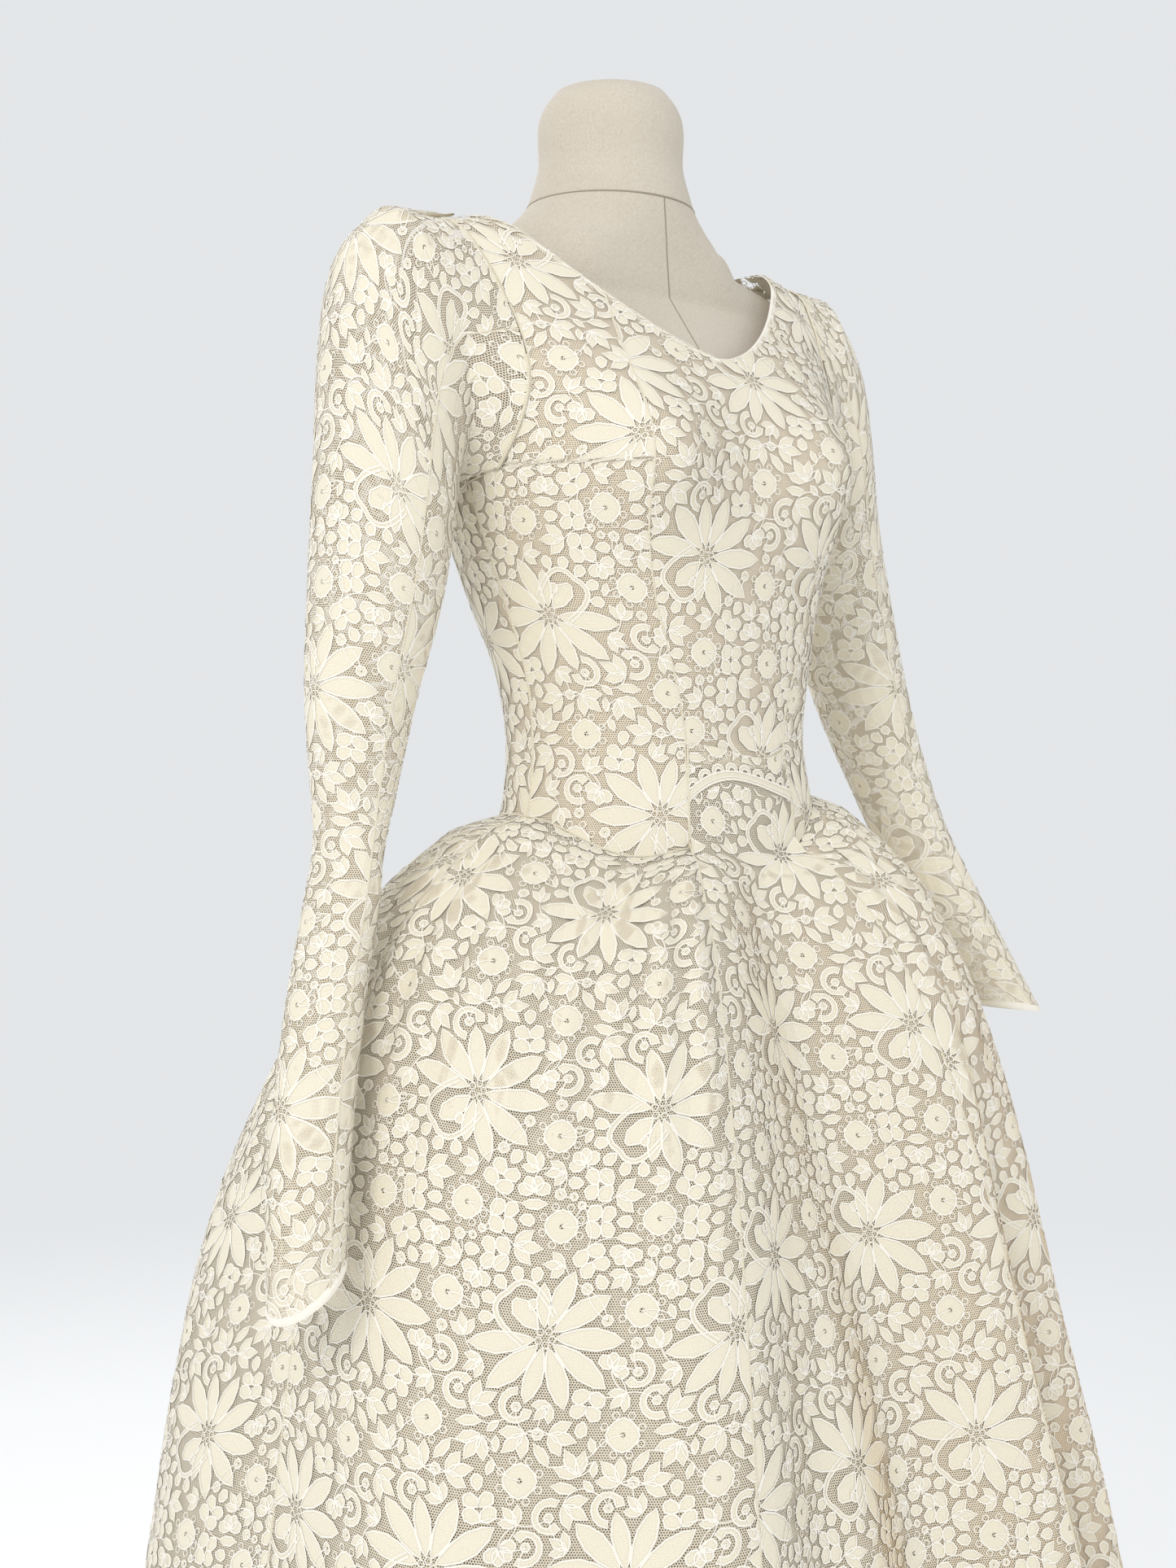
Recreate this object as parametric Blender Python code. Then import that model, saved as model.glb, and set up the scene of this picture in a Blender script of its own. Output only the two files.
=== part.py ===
"""Lace wedding dress, worn by a limbless dress form on a stand.

Metres, +Z up. The wearer faces -Y and the wearer's right is -X. The origin is under the middle of the
round base. Cloth pieces are walls whose two sides are the same cut surface, moved along its normals.
"""
import math

import bmesh
import bpy
import numpy as np

# Driving sizes
SEAM_GAP = 0.0003
LACE_WALL = 0.001
LINING_WALL = 0.001
LAYER_GAP = 0.0008
HEM_HEIGHT = 0.025
SKIRT_DROP = 0.96
EYELET = 0.006
EYELET_EDGE = 0.008
FLAT_ENOUGH = 0.0012
REPEAT_WIDTH = 0.12
REPEAT_LENGTH = 0.28
GATHER_DEPTH = 0.0045
LINING_INSIDE = 0.0045
GATHER_DEGREES = 7.4
BASE_RADIUS = 0.17
BASE_HEIGHT = 0.012
POST_RADIUS = 0.014
FORM_BOTTOM = 0.80
FORM_CLEARANCE = 0.0043
FORM_SHOULDER_CLEARANCE = 0.012
FORM_ARM_PLATE = 0.158
BUTTON_RADIUS = 0.006
BUTTON_COUNT = 12
BUTTON_SIDES = 8

# Torso sections: height, half width, depth to the front, depth to the back, y of the widest line
TORSO = [
    (0.78, 0.140, 0.096, 0.108, 0.000),
    (0.90, 0.135, 0.095, 0.103, 0.000),
    (0.98, 0.128, 0.095, 0.096, 0.000),
    (1.02, 0.119, 0.092, 0.089, 0.000),
    (1.06, 0.115, 0.088, 0.087, 0.002),
    (1.11, 0.120, 0.093, 0.096, 0.004),
    (1.16, 0.133, 0.104, 0.109, 0.012),
    (1.21, 0.147, 0.116, 0.116, 0.020),
    (1.26, 0.160, 0.122, 0.117, 0.028),
    (1.31, 0.174, 0.115, 0.110, 0.036),
    (1.355, 0.188, 0.095, 0.093, 0.044),
    (1.390, 0.194, 0.076, 0.074, 0.050),
    (1.413, 0.185, 0.060, 0.058, 0.052),
    (1.428, 0.150, 0.048, 0.046, 0.053),
    (1.440, 0.095, 0.044, 0.044, 0.053),
]
SECTION_POWER = 2.3
BUST_HEIGHT = 1.255
BUST_SPREAD = 0.088
BUST_RISE = 0.032
BUST_SIZE = 0.048
UNDERARM = 1.245
STRAP_INNER = 0.138
FRONT_NECK = 1.330
BACK_NECK = 1.372

# Seam places on the bodice: height, front princess x, back princess x, armhole x
BODICE_SEAMS = [
    (0.97, 0.053, 0.050, 0.150),
    (1.06, 0.047, 0.048, 0.150),
    (1.16, 0.074, 0.060, 0.150),
    (1.25, 0.095, 0.072, 0.1525),
    (1.31, 0.090, 0.078, 0.147),
    (1.38, 0.080, 0.080, 0.156),
    (1.43, 0.076, 0.080, 0.168),
]

# Basque seam between bodice and skirt: degrees from the front, height
BASQUE = [
    (-180, 1.000), (-130, 1.006), (-80, 1.003), (-50, 0.980), (-30, 0.985),
    (30, 0.985), (50, 1.010), (80, 1.025), (130, 1.012), (180, 1.000),
]
APRON_HEIGHT = 1.045
GORE_EDGE = 29.5

# Skirt radius: drop below the basque seam, then at the front, 45, 90, 135 degrees and the back
SKIRT = [
    (0.015, 0.105, 0.140, 0.160, 0.150, 0.140),
    (0.050, 0.115, 0.180, 0.205, 0.190, 0.172),
    (0.090, 0.128, 0.208, 0.236, 0.217, 0.198),
    (0.170, 0.155, 0.243, 0.276, 0.275, 0.250),
    (0.250, 0.180, 0.268, 0.303, 0.318, 0.292),
    (0.350, 0.207, 0.292, 0.330, 0.350, 0.328),
    (0.480, 0.240, 0.325, 0.358, 0.368, 0.358),
    (0.600, 0.265, 0.350, 0.380, 0.382, 0.380),
    (1.000, 0.330, 0.425, 0.455, 0.450, 0.468),
]

# Large skirt folds: degrees of the ridge, depth of the valley that follows it
FOLDS = [
    (-29.5, 0.020), (-6, 0.030), (29.5, 0.075), (47, 0.045), (66, 0.040), (94, 0.045), (120, 0.045),
    (147, 0.045), (173, 0.045), (199, 0.045), (224, 0.040), (245, 0.035), (296, 0.018), (330.5, 0.020),
]
FOLD_START = 0.06
FOLD_FULL = 0.55

# Skirt gores: name, first edge in degrees, last edge in degrees
GORES = [
    ("skirt_front", -GORE_EDGE, GORE_EDGE),
    ("skirt_side_front_left", GORE_EDGE, 94),
    ("skirt_back_left", 94, 180),
    ("skirt_back_right", 180, 268),
    ("skirt_side_front_right", 268, 360 - GORE_EDGE),
]
GATHER_ROWS = (0.0, 0.018, 0.075)
FALL_ROWS = (0.14, 0.23, 0.35, 0.51, 0.70)
LINING_ROWS = (0.018, 0.075, 0.14, 0.23, 0.35, 0.51, 0.70, 0.96)

# Sleeve sections: inner x and z, outer x and z, y of the middle, half depth front to back
NEAR_SLEEVE = [
    (0.163, 1.237, 0.214, 1.424, 0.044, 0.060),
    (0.168, 1.224, 0.243, 1.392, 0.041, 0.059),
    (0.171, 1.206, 0.256, 1.335, 0.038, 0.056),
    (0.176, 1.180, 0.263, 1.258, 0.035, 0.052),
    (0.184, 1.145, 0.270, 1.175, 0.033, 0.047),
    (0.203, 1.080, 0.275, 1.090, 0.033, 0.038),
    (0.221, 1.020, 0.274, 1.020, 0.028, 0.030),
    (0.235, 0.985, 0.277, 0.988, 0.021, 0.028),
    (0.246, 0.950, 0.292, 0.950, 0.010, 0.028),
    (0.263, 0.900, 0.311, 0.898, -0.002, 0.028),
    (0.282, 0.845, 0.331, 0.838, -0.019, 0.028),
    (0.297, 0.790, 0.347, 0.775, -0.034, 0.028),
    (0.308, 0.742, 0.355, 0.704, -0.047, 0.026),
]
FAR_SLEEVE = [
    (0.163, 1.237, 0.200, 1.421, 0.043, 0.059),
    (0.167, 1.224, 0.222, 1.385, 0.039, 0.057),
    (0.170, 1.206, 0.234, 1.330, 0.035, 0.053),
    (0.175, 1.185, 0.243, 1.255, 0.032, 0.049),
    (0.186, 1.150, 0.257, 1.180, 0.027, 0.045),
    (0.203, 1.080, 0.268, 1.100, 0.013, 0.038),
    (0.221, 1.020, 0.276, 1.036, -0.004, 0.033),
    (0.235, 0.975, 0.286, 0.990, -0.018, 0.031),
    (0.249, 0.935, 0.299, 0.950, -0.034, 0.030),
    (0.268, 0.890, 0.314, 0.905, -0.052, 0.028),
    (0.284, 0.857, 0.334, 0.850, -0.072, 0.026),
]
SLEEVE_SIDES = 16
ARMHOLE_GAP = 0.0020
BODICE_ROWS = 12
BACK_COLUMNS = 5


def smooth_table(rows, key):
    """Interpolate each column of a table smoothly at the given keys (cubic, flat at the ends)."""
    table = np.array(rows, float)
    xs = table[:, 0]
    ys = table[:, 1:]
    slopes = np.gradient(ys, xs, axis=0)
    x = np.clip(np.asarray(key, float), xs[0], xs[-1])
    i = np.clip(np.searchsorted(xs, x, side="right") - 1, 0, len(xs) - 2)
    width = (xs[i + 1] - xs[i])[..., None]
    t = (x - xs[i])[..., None] / width
    low = ys[i] * (1 + 2 * t) * (1 - t) ** 2 + slopes[i] * width * t * (1 - t) ** 2
    high = ys[i + 1] * t * t * (3 - 2 * t) - slopes[i + 1] * width * t * t * (1 - t)
    return low + high


def ease(value):
    """Smooth step from 0 to 1."""
    t = np.clip(value, 0.0, 1.0)
    return t * t * (3 - 2 * t)


def torso_depth(x, z, front):
    """y of the torso surface at x and height z, on the front or the back."""
    width, depth_front, depth_back, ridge = np.moveaxis(smooth_table(TORSO, z), -1, 0)
    share = np.clip(np.abs(x) / width, 0.0, 1.0)
    bow = (1 - share ** SECTION_POWER) ** (1 / SECTION_POWER)
    bust = np.exp(-((np.abs(x) - BUST_SPREAD) ** 2 + (z - BUST_HEIGHT) ** 2) / BUST_SIZE ** 2)
    if front:
        return ridge - depth_front * bow - BUST_RISE * bust * bow
    return ridge + depth_back * bow


def torso_ring(angle, z):
    """Radius of the torso about the z axis at an angle from the front, below the bust."""
    width, depth_front, depth_back, _ = np.moveaxis(smooth_table(TORSO, z), -1, 0)
    depth = np.where(np.cos(angle) > 0, depth_front, depth_back)
    power = SECTION_POWER
    return ((np.abs(np.sin(angle)) / width) ** power + (np.abs(np.cos(angle)) / depth) ** power) ** (-1 / power)


def basque_height(degrees):
    """Height of the seam between bodice and skirt."""
    wrapped = (np.asarray(degrees, float) + 180) % 360 - 180
    return smooth_table(BASQUE, wrapped)[..., 0]


def fold_wave(degrees):
    """Height of the large folds, 0 on a ridge and minus the full depth in a valley."""
    wrapped = (np.asarray(degrees, float) + GORE_EDGE) % 360 - GORE_EDGE
    edges = np.array([row[0] for row in FOLDS], float)
    depths = np.array([row[1] for row in FOLDS])
    i = np.clip(np.searchsorted(edges, wrapped, side="right") - 1, 0, len(edges) - 2)
    t = (wrapped - edges[i]) / (edges[i + 1] - edges[i])
    return -depths[i] * 0.5 * (1 - np.cos(2 * math.pi * t))


def skirt_radius(degrees, drop):
    """Radius of the skirt without its gathers, at a drop below the basque seam."""
    degrees, drop = np.broadcast_arrays(np.asarray(degrees, float), np.asarray(drop, float))
    angle = np.radians(degrees)
    station = np.abs((np.asarray(degrees, float) + 180) % 360 - 180) / 45
    seam = torso_ring(angle, basque_height(degrees))
    radii = smooth_table(SKIRT, np.maximum(drop, SKIRT[0][0]))
    i = np.clip(np.floor(station).astype(int), 0, 3)
    t = ease(station - i)
    near = np.take_along_axis(radii, i[..., None], -1)[..., 0]
    far = np.take_along_axis(radii, (i + 1)[..., None], -1)[..., 0]
    base = near * (1 - t) + far * t
    grown = seam + (base - seam) * np.clip(np.sin(np.clip(drop / SKIRT[0][0], 0, 1) * math.pi / 2), 0, 1)
    strength = ease((drop - FOLD_START) / (FOLD_FULL - FOLD_START)) * (1 + 0.25 * np.clip(drop - FOLD_FULL, 0, 1))
    return grown + fold_wave(degrees) * strength


def gather_height(degrees, drop, first, last):
    """Small gathers of one gore, whole in number between its two edges."""
    count = max(1, round((last - first) / GATHER_DEGREES))
    phase = (np.asarray(degrees, float) - first) / (last - first) * count
    fade = ease(1 - (drop - 0.05) / 0.16) * (0.3 + 0.7 * ease(drop / 0.012))
    return GATHER_DEPTH * fade * 0.5 * (1 - np.cos(2 * math.pi * phase))


def skirt_point(degrees, drop, gore, inside=0.0, gathered=True):
    """Point of the skirt surface. The front gore has no gathers and rises to the waist."""
    name, first, last = gore
    degrees = np.asarray(degrees, float)
    angle = np.radians(degrees)
    top = basque_height(degrees)
    z = top - drop * (top - HEM_HEIGHT) / SKIRT_DROP
    radius = skirt_radius(degrees, np.maximum(drop, 0.0)) - inside
    radius = np.where(drop < 0, torso_ring(angle, z) - inside, radius)
    if gathered and name != "skirt_front":
        radius = radius + gather_height(degrees, drop, first, last)
    return np.stack([radius * np.sin(angle), -radius * np.cos(angle), z], -1)


def surface_normals(function, a, b, outward, step_a, step_b):
    """Unit normals of a surface given by two parameters, by small steps."""
    along = function(a + step_a, b) - function(a - step_a, b)
    down = function(a, b + step_b) - function(a, b - step_b)
    normal = np.cross(along, down)
    normal /= np.maximum(np.linalg.norm(normal, axis=-1, keepdims=True), 1e-12)
    flip = np.sign(np.sum(normal * outward, -1, keepdims=True))
    return normal * np.where(flip == 0, 1, flip)


def make_material(name, colour, roughness, metallic=0.0):
    """Principled material of one sub-part."""
    material = bpy.data.materials.new(name)
    material.use_nodes = True
    shader = material.node_tree.nodes["Principled BSDF"]
    shader.inputs["Base Color"].default_value = (*colour, 1.0)
    shader.inputs["Roughness"].default_value = roughness
    shader.inputs["Metallic"].default_value = metallic
    return material


def add_object(name, vertices, faces, material, collection):
    """Mesh object from points and faces, shaded smooth."""
    mesh = bpy.data.meshes.new(name)
    mesh.from_pydata([tuple(v) for v in vertices], [], faces)
    mesh.validate()
    mesh.shade_smooth()
    mesh.materials.append(material)
    item = bpy.data.objects.new(name, mesh)
    collection.objects.link(item)
    return item


def cloth_wall(name, points, normals, faces, outer, inner, material, collection):
    """Closed wall between two offsets of one sheet; every free edge of the sheet gets a rim."""
    points = np.asarray(points)
    normals = np.asarray(normals)
    faces = [(face[0], face[k], face[k + 1]) for face in faces for k in range(1, len(face) - 1)]
    facing = 0.0
    for face in faces:
        corner = points[list(face[:3])]
        facing += np.dot(np.cross(corner[1] - corner[0], corner[2] - corner[0]), normals[face[0]])
    if facing < 0:
        faces = [tuple(reversed(face)) for face in faces]
    count = len(points)
    vertices = np.concatenate([points + normals * outer, points + normals * inner])
    solid = [tuple(face) for face in faces]
    solid += [tuple(i + count for i in reversed(face)) for face in faces]
    edges = {}
    for face in faces:
        for a, b in zip(face, face[1:] + face[:1]):
            edges[(a, b)] = True
    for a, b in edges:
        if (b, a) not in edges:
            solid.append((b, a, a + count, b + count))
    return add_object(name, vertices, solid, material, collection)


def eyelet_cells(flat, rows, columns, shift):
    """Cells of a grid that hold a flower centre of the lace, with its place inside the cell."""
    cells = {}
    low = flat.reshape(-1, 2).min(0)
    high = flat.reshape(-1, 2).max(0)
    first_row = math.floor(low[1] / REPEAT_LENGTH)
    last_row = math.ceil(high[1] / REPEAT_LENGTH)
    first_column = math.floor(low[0] / REPEAT_WIDTH) - 1
    last_column = math.ceil(high[0] / REPEAT_WIDTH) + 1
    for row in range(first_row, last_row + 1):
        for column in range(first_column, last_column + 1):
            for half in (0, 1):
                u = (column + 0.5 * half) * REPEAT_WIDTH + shift
                v = (row + 0.5 * half + 0.25) * REPEAT_LENGTH
                place = find_cell(flat, rows, columns, u, v)
                if place:
                    cells[place[0]] = place[1:]
    return cells


def find_cell(flat, rows, columns, u, v):
    """Row, column and local place of a flat point on a grid, or None near an edge."""
    for i in range(rows - 1):
        top = flat[i, :, 1].mean()
        bottom = flat[i + 1, :, 1].mean()
        if not top <= v < bottom:
            continue
        b = (v - top) / (bottom - top)
        line = flat[i, :, 0] * (1 - b) + flat[i + 1, :, 0] * b
        j = int(np.searchsorted(line, u)) - 1
        if j < 0 or j >= columns - 1:
            return None
        width = line[j + 1] - line[j]
        length = bottom - top
        if width < EYELET + 2 * EYELET_EDGE * 0.45 or length < EYELET + 2 * EYELET_EDGE:
            return None
        edge_a = (EYELET / 2 + EYELET_EDGE * 0.4) / width
        edge_b = (EYELET / 2 + EYELET_EDGE) / length
        a = min(max((u - line[j]) / width, edge_a), 1 - edge_a)
        b = min(max(b, edge_b), 1 - edge_b)
        return (i, j), a, b, EYELET / 2 / width, EYELET / 2 / length
    return None


def grid_sheet(points, normals, eyelets=None):
    """Flat lists of points, normals and faces of a grid, with square holes in some cells."""
    rows, columns = points.shape[:2]
    point_list = [p for line in points for p in line]
    normal_list = [n for line in normals for n in line]
    faces = []
    for i in range(rows - 1):
        for j in range(columns - 1):
            ring = [i * columns + j, i * columns + j + 1, (i + 1) * columns + j + 1, (i + 1) * columns + j]
            hole = (eyelets or {}).get((i, j))
            corner = [point_list[k] for k in ring]
            twist = np.linalg.norm(corner[0] + corner[2] - corner[1] - corner[3]) / 2
            if hole is None or twist > FLAT_ENOUGH:
                faces.append(tuple(ring))
                continue
            a, b, half_a, half_b = hole
            inner = []
            for da, db in ((-1, -1), (1, -1), (1, 1), (-1, 1)):
                wa = a + da * half_a
                wb = b + db * half_b
                weights = ((1 - wa) * (1 - wb), wa * (1 - wb), wa * wb, (1 - wa) * wb)
                point = sum(w * point_list[k] for w, k in zip(weights, ring))
                normal = sum(w * normal_list[k] for w, k in zip(weights, ring))
                inner.append(len(point_list))
                point_list.append(point)
                normal_list.append(normal / np.linalg.norm(normal))
            for k in range(4):
                m = (k + 1) % 4
                faces.append((ring[k], ring[m], inner[m], inner[k]))
    return point_list, normal_list, faces


def flat_grid(points):
    """Flat place of each grid point: length along its row from the middle, length down from the top."""
    steps = np.linalg.norm(np.diff(points, axis=1), axis=-1)
    across = np.concatenate([np.zeros((len(points), 1)), np.cumsum(steps, 1)], 1)
    across -= across[:, -1:] / 2
    falls = np.linalg.norm(np.diff(points, axis=0), axis=-1).mean(1)
    down = np.concatenate([[0.0], np.cumsum(falls)])
    return np.stack([across, np.broadcast_to(down[:, None], across.shape)], -1)


def gore_grid(gore, drops, columns, inside, gathered):
    """Points and normals of one gore at the given drops and number of columns."""
    first, last = gore[1:]
    drops = np.asarray(drops, float)[:, None]
    share = np.linspace(0, 1, columns)[None, :]
    radius = skirt_radius(np.array(0.5 * (first + last)), np.maximum(drops, 0.0))
    inset = np.degrees(SEAM_GAP / 2 / radius)
    degrees = first + inset + share * (last - first - 2 * inset)
    drops = np.broadcast_to(drops, degrees.shape)

    def surface(a, b):
        return skirt_point(a, b, gore, inside, gathered)

    points = surface(degrees, drops)
    outward = points * np.array([1.0, 1.0, 0.0])
    return points, surface_normals(surface, degrees, drops, outward, 0.05, 0.0005)


def make_gore(gore, material, collection):
    """Lace gore: fine columns through the gathers, half as many below, eyelets in the fall."""
    name, first, last = gore
    shift = 0.03
    if name == "skirt_front":
        drops = (-0.0597,) + GATHER_ROWS + FALL_ROWS + (SKIRT_DROP,)
        points, normals = gore_grid(gore, drops, 13, 0.0, False)
        flat = flat_grid(points)
        eyelets = eyelet_cells(flat, len(drops), 13, shift)
        sheet = grid_sheet(points, normals, eyelets)
        return cloth_wall(name, *sheet, 0.0, -LACE_WALL, material, collection)
    count = round((last - first) / GATHER_DEGREES)
    drops = tuple(drop + (SEAM_GAP if drop == 0 else 0) for drop in GATHER_ROWS)
    fine = 4 * count + 1
    coarse = 2 * count + 1
    top_points, top_normals = gore_grid(gore, drops, fine, 0.0, True)
    low_drops = FALL_ROWS + (SKIRT_DROP,)
    low_points, low_normals = gore_grid(gore, low_drops, coarse, 0.0, True)
    eyelets = eyelet_cells(flat_grid(low_points), len(low_drops), coarse, shift)
    points, normals, faces = grid_sheet(low_points, low_normals, eyelets)
    start = len(points)
    more_points, more_normals, more_faces = grid_sheet(top_points, top_normals)
    faces += [tuple(i + start for i in face) for face in more_faces]
    edge = start + (len(drops) - 1) * fine
    for j in range(coarse - 1):
        a, b, c = edge + 2 * j, edge + 2 * j + 1, edge + 2 * j + 2
        faces += [(a, b, j), (b, j + 1, j), (b, c, j + 1)]
    return cloth_wall(name, points + more_points, normals + more_normals, faces, 0.0, -LACE_WALL,
                      material, collection)


def make_skirt_lining(name, gores, material, collection):
    """Lining under some neighbouring gores, on the same folds without the gathers."""
    parts = []
    for gore in gores:
        count = 6 if gore[0] == "skirt_front" else round((gore[2] - gore[1]) / GATHER_DEGREES)
        points, normals = gore_grid(gore, LINING_ROWS, 2 * count + 1, LINING_INSIDE, False)
        parts.append((points, normals))
    points = np.concatenate([parts[0][0]] + [p[0][:, 1:] for p in parts[1:]], 1)
    normals = np.concatenate([parts[0][1]] + [p[1][:, 1:] for p in parts[1:]], 1)
    return cloth_wall(name, *grid_sheet(points, normals), 0.0, -LINING_WALL, material, collection)


def princess_x(z, front):
    """Distance of the princess seam from the middle, on the front or the back."""
    seams = smooth_table(BODICE_SEAMS, z)
    if not front:
        return seams[..., 1]
    angle = math.radians(GORE_EDGE)
    apron_edge = torso_ring(angle, z) * math.sin(angle) + 2 * SEAM_GAP
    return np.where(z < 1.06, apron_edge, seams[..., 0])


def side_x(z):
    """Outer edge of the bodice: the side seam below the underarm, the armhole above it."""
    width = smooth_table(TORSO, z)[..., 0]
    armhole = smooth_table(BODICE_SEAMS, z)[..., 2]
    return np.where(z < UNDERARM, width, np.minimum(width, armhole)) * 0.999999


def shoulder_height(x):
    """Height where the torso's width is x: the line of the shoulder seam."""
    heights = np.linspace(1.39, 1.44, 200)
    widths = smooth_table(TORSO, heights)[..., 0]
    return np.interp(-np.abs(x), -widths, heights)


def neckline(x, front):
    """Height of the neckline at a distance from the middle, then of the shoulder seam."""
    low = FRONT_NECK if front else BACK_NECK
    share = np.clip(np.abs(x) / STRAP_INNER, 0, 1)
    power = 1.6 if front else 2.2
    scoop = low + (shoulder_height(STRAP_INNER) - low) * share ** power
    return np.where(np.abs(x) < STRAP_INNER, scoop, shoulder_height(x))


def bodice_grid(piece, rows, columns):
    """Points and normals of one bodice piece."""
    front, sign, kind = piece
    gap = SEAM_GAP / 2

    def x_of(f, z):
        inner = princess_x(z, front) + gap
        outer = side_x(z)
        if kind == "middle":
            return f * (princess_x(z, front) - gap) + (1 - f) * (gap if not front else 0)
        start = math.asin(0.45)
        share = (np.sin(start + f * (math.pi / 2 - start)) - 0.45) / 0.55
        share = share + (f - share) * ease((z - 1.20) / 0.08)
        return inner + share * (outer - inner)

    f = np.linspace(0, 1, columns)[None, :]
    if kind == "middle" and front:
        f = np.linspace(-1, 1, columns)[None, :]
    f_size = np.abs(f)
    top = np.full(f.shape, 1.40)
    low = np.full(f.shape, 1.00)
    for _ in range(40):
        top = 0.5 * top + 0.5 * neckline(x_of(f_size, top), front)
        x = x_of(f_size, low)
        degrees = np.degrees(np.arctan2(x * np.where(f < 0, -1, sign), -torso_depth(x, low, front)))
        low = 0.5 * low + 0.5 * (basque_height(degrees) + SEAM_GAP)
    share = np.linspace(0, 1, rows - 1)[:, None]
    share = 0.4 * share + 0.6 * np.sin(share * math.pi / 2)
    waist = APRON_HEIGHT + SEAM_GAP
    z = np.concatenate([low, waist + share * (top - waist)])
    if front and kind == "middle":
        z = z[1:]
    f = np.broadcast_to(f, z.shape)
    sides = np.where(f < 0, -1, 1) * sign

    def surface(a, b):
        x = x_of(np.abs(a), b)
        return np.stack([x * sides, torso_depth(x, b, front) + (-gap if front else gap), b], -1)

    points = surface(f, z)
    step = 1e-4
    x = np.abs(points[..., 0])
    here = torso_depth(x, z, front)
    by_x = (torso_depth(np.maximum(x - step, 0), z, front) - here) / step
    by_z = (torso_depth(x, z + step, front) - torso_depth(x, z - step, front)) / (2 * step)
    normals = np.stack([by_x * np.sign(points[..., 0] + 1e-12), np.ones_like(x), -by_z], -1)
    if front:
        normals = -normals
    normals /= np.linalg.norm(normals, axis=-1, keepdims=True)
    return points, normals


def make_bodice(lace, satin, collection):
    """Seven lace pieces, each with the lining piece made from its points, moved in."""
    rows = BODICE_ROWS
    pieces = [("bodice_front", (True, 1, "middle"), 11)]
    for side, sign in (("left", 1), ("right", -1)):
        pieces.append((f"bodice_side_front_{side}", (True, sign, "side"), 8))
        pieces.append((f"bodice_side_back_{side}", (False, sign, "side"), 6))
        pieces.append((f"bodice_back_{side}", (False, sign, "middle"), BACK_COLUMNS))
    depth = LACE_WALL + LAYER_GAP
    for name, piece, columns in pieces:
        points, normals = bodice_grid(piece, rows, columns)
        eyelets = eyelet_cells(flat_grid(points), len(points), columns, 0.02)
        cloth_wall(name, *grid_sheet(points, normals, eyelets), 0.0, -LACE_WALL, lace, collection)
        cloth_wall(name.replace("bodice", "bodice_lining"), *grid_sheet(points, normals),
                   -depth, -depth - LINING_WALL, satin, collection)


def sleeve_point(turn, ring, rows, sign):
    """Point of a sleeve: ring 0 is the armhole, the others are the table's rows; turn 0 is outside."""
    turn = np.asarray(turn, float)
    top = shoulder_height(side_x(1.43))
    z = 0.5 * (top + UNDERARM) + 0.5 * (top - UNDERARM) * np.cos(turn)
    x = side_x(z)
    front = np.sin(turn) > 0
    y = np.where(front, torso_depth(x, z, True), torso_depth(x, z, False))
    rise = np.maximum(np.cos(turn), 0.0)
    armhole = np.stack([x + ARMHOLE_GAP * (1 + rise), y, z + ARMHOLE_GAP * rise], -1)
    keys = [(index + 1,) + row for index, row in enumerate(rows)]
    inner_x, inner_z, outer_x, outer_z, middle, half = np.moveaxis(smooth_table(keys, ring), -1, 0)
    cos = np.cos(turn)
    oval = np.stack([
        0.5 * (inner_x + outer_x) + 0.5 * (outer_x - inner_x) * cos,
        middle - half * np.sin(turn),
        0.5 * (inner_z + outer_z) + 0.5 * (outer_z - inner_z) * cos,
    ], -1)
    blend = np.clip(ring, 0, 1)[..., None]
    return (armhole * (1 - blend) + oval * blend) * np.array([sign, 1, 1])


def make_sleeves(material, collection):
    """Two sheer sleeves, each an upper and an under piece, with eyelets and a pointed end."""
    for side, sign, rows in (("right", -1, NEAR_SLEEVE), ("left", 1, FAR_SLEEVE)):
        for half, start in (("upper", -math.pi / 2), ("under", math.pi / 2)):
            columns = SLEEVE_SIDES // 2 + 1
            inset = SEAM_GAP / 2 / 0.035
            turn = np.linspace(start + inset, start + math.pi - inset, columns)[None, :]
            ring = np.arange(len(rows) + 1.0)[:, None]
            turn, ring = np.broadcast_arrays(turn, ring)

            def surface(a, b):
                return sleeve_point(a, b, rows, sign)

            points = surface(turn, ring)
            centre = 0.5 * (surface(np.zeros_like(turn), ring) + surface(np.full_like(turn, math.pi), ring))
            normals = surface_normals(surface, turn, ring, points - centre, 1e-3, 1e-3)
            eyelets = eyelet_cells(flat_grid(points), len(rows) + 1, columns, 0.0)
            eyelets = {cell: hole for cell, hole in eyelets.items() if cell[0] > 0}
            cloth_wall(f"sleeve_{half}_{side}", *grid_sheet(points, normals, eyelets), 0.0, -LACE_WALL,
                       material, collection)


def loft_rings(name, rings, material, collection):
    """Closed solid through rings of equal point count, with flat ends."""
    count = len(rings[0])
    vertices = [point for ring in rings for point in ring]
    faces = [tuple(reversed(range(count)))]
    for i in range(len(rings) - 1):
        for j in range(count):
            k = (j + 1) % count
            faces.append((i * count + j, i * count + k, (i + 1) * count + k, (i + 1) * count + j))
    last = (len(rings) - 1) * count
    faces.append(tuple(range(last, last + count)))
    return add_object(name, vertices, faces, material, collection)


def form_surface(turn, z):
    """Point of the torso's surface at a turn about its section."""
    width, depth_front, depth_back, ridge = np.moveaxis(smooth_table(TORSO, z), -1, 0)
    power = 2 / SECTION_POWER
    x = width * np.sign(np.sin(turn)) * np.abs(np.sin(turn)) ** power
    front = np.cos(turn) > 0
    y = np.where(front, torso_depth(x, z, True), torso_depth(x, z, False))
    return np.stack([x, y, z + 0 * x], -1)


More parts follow.
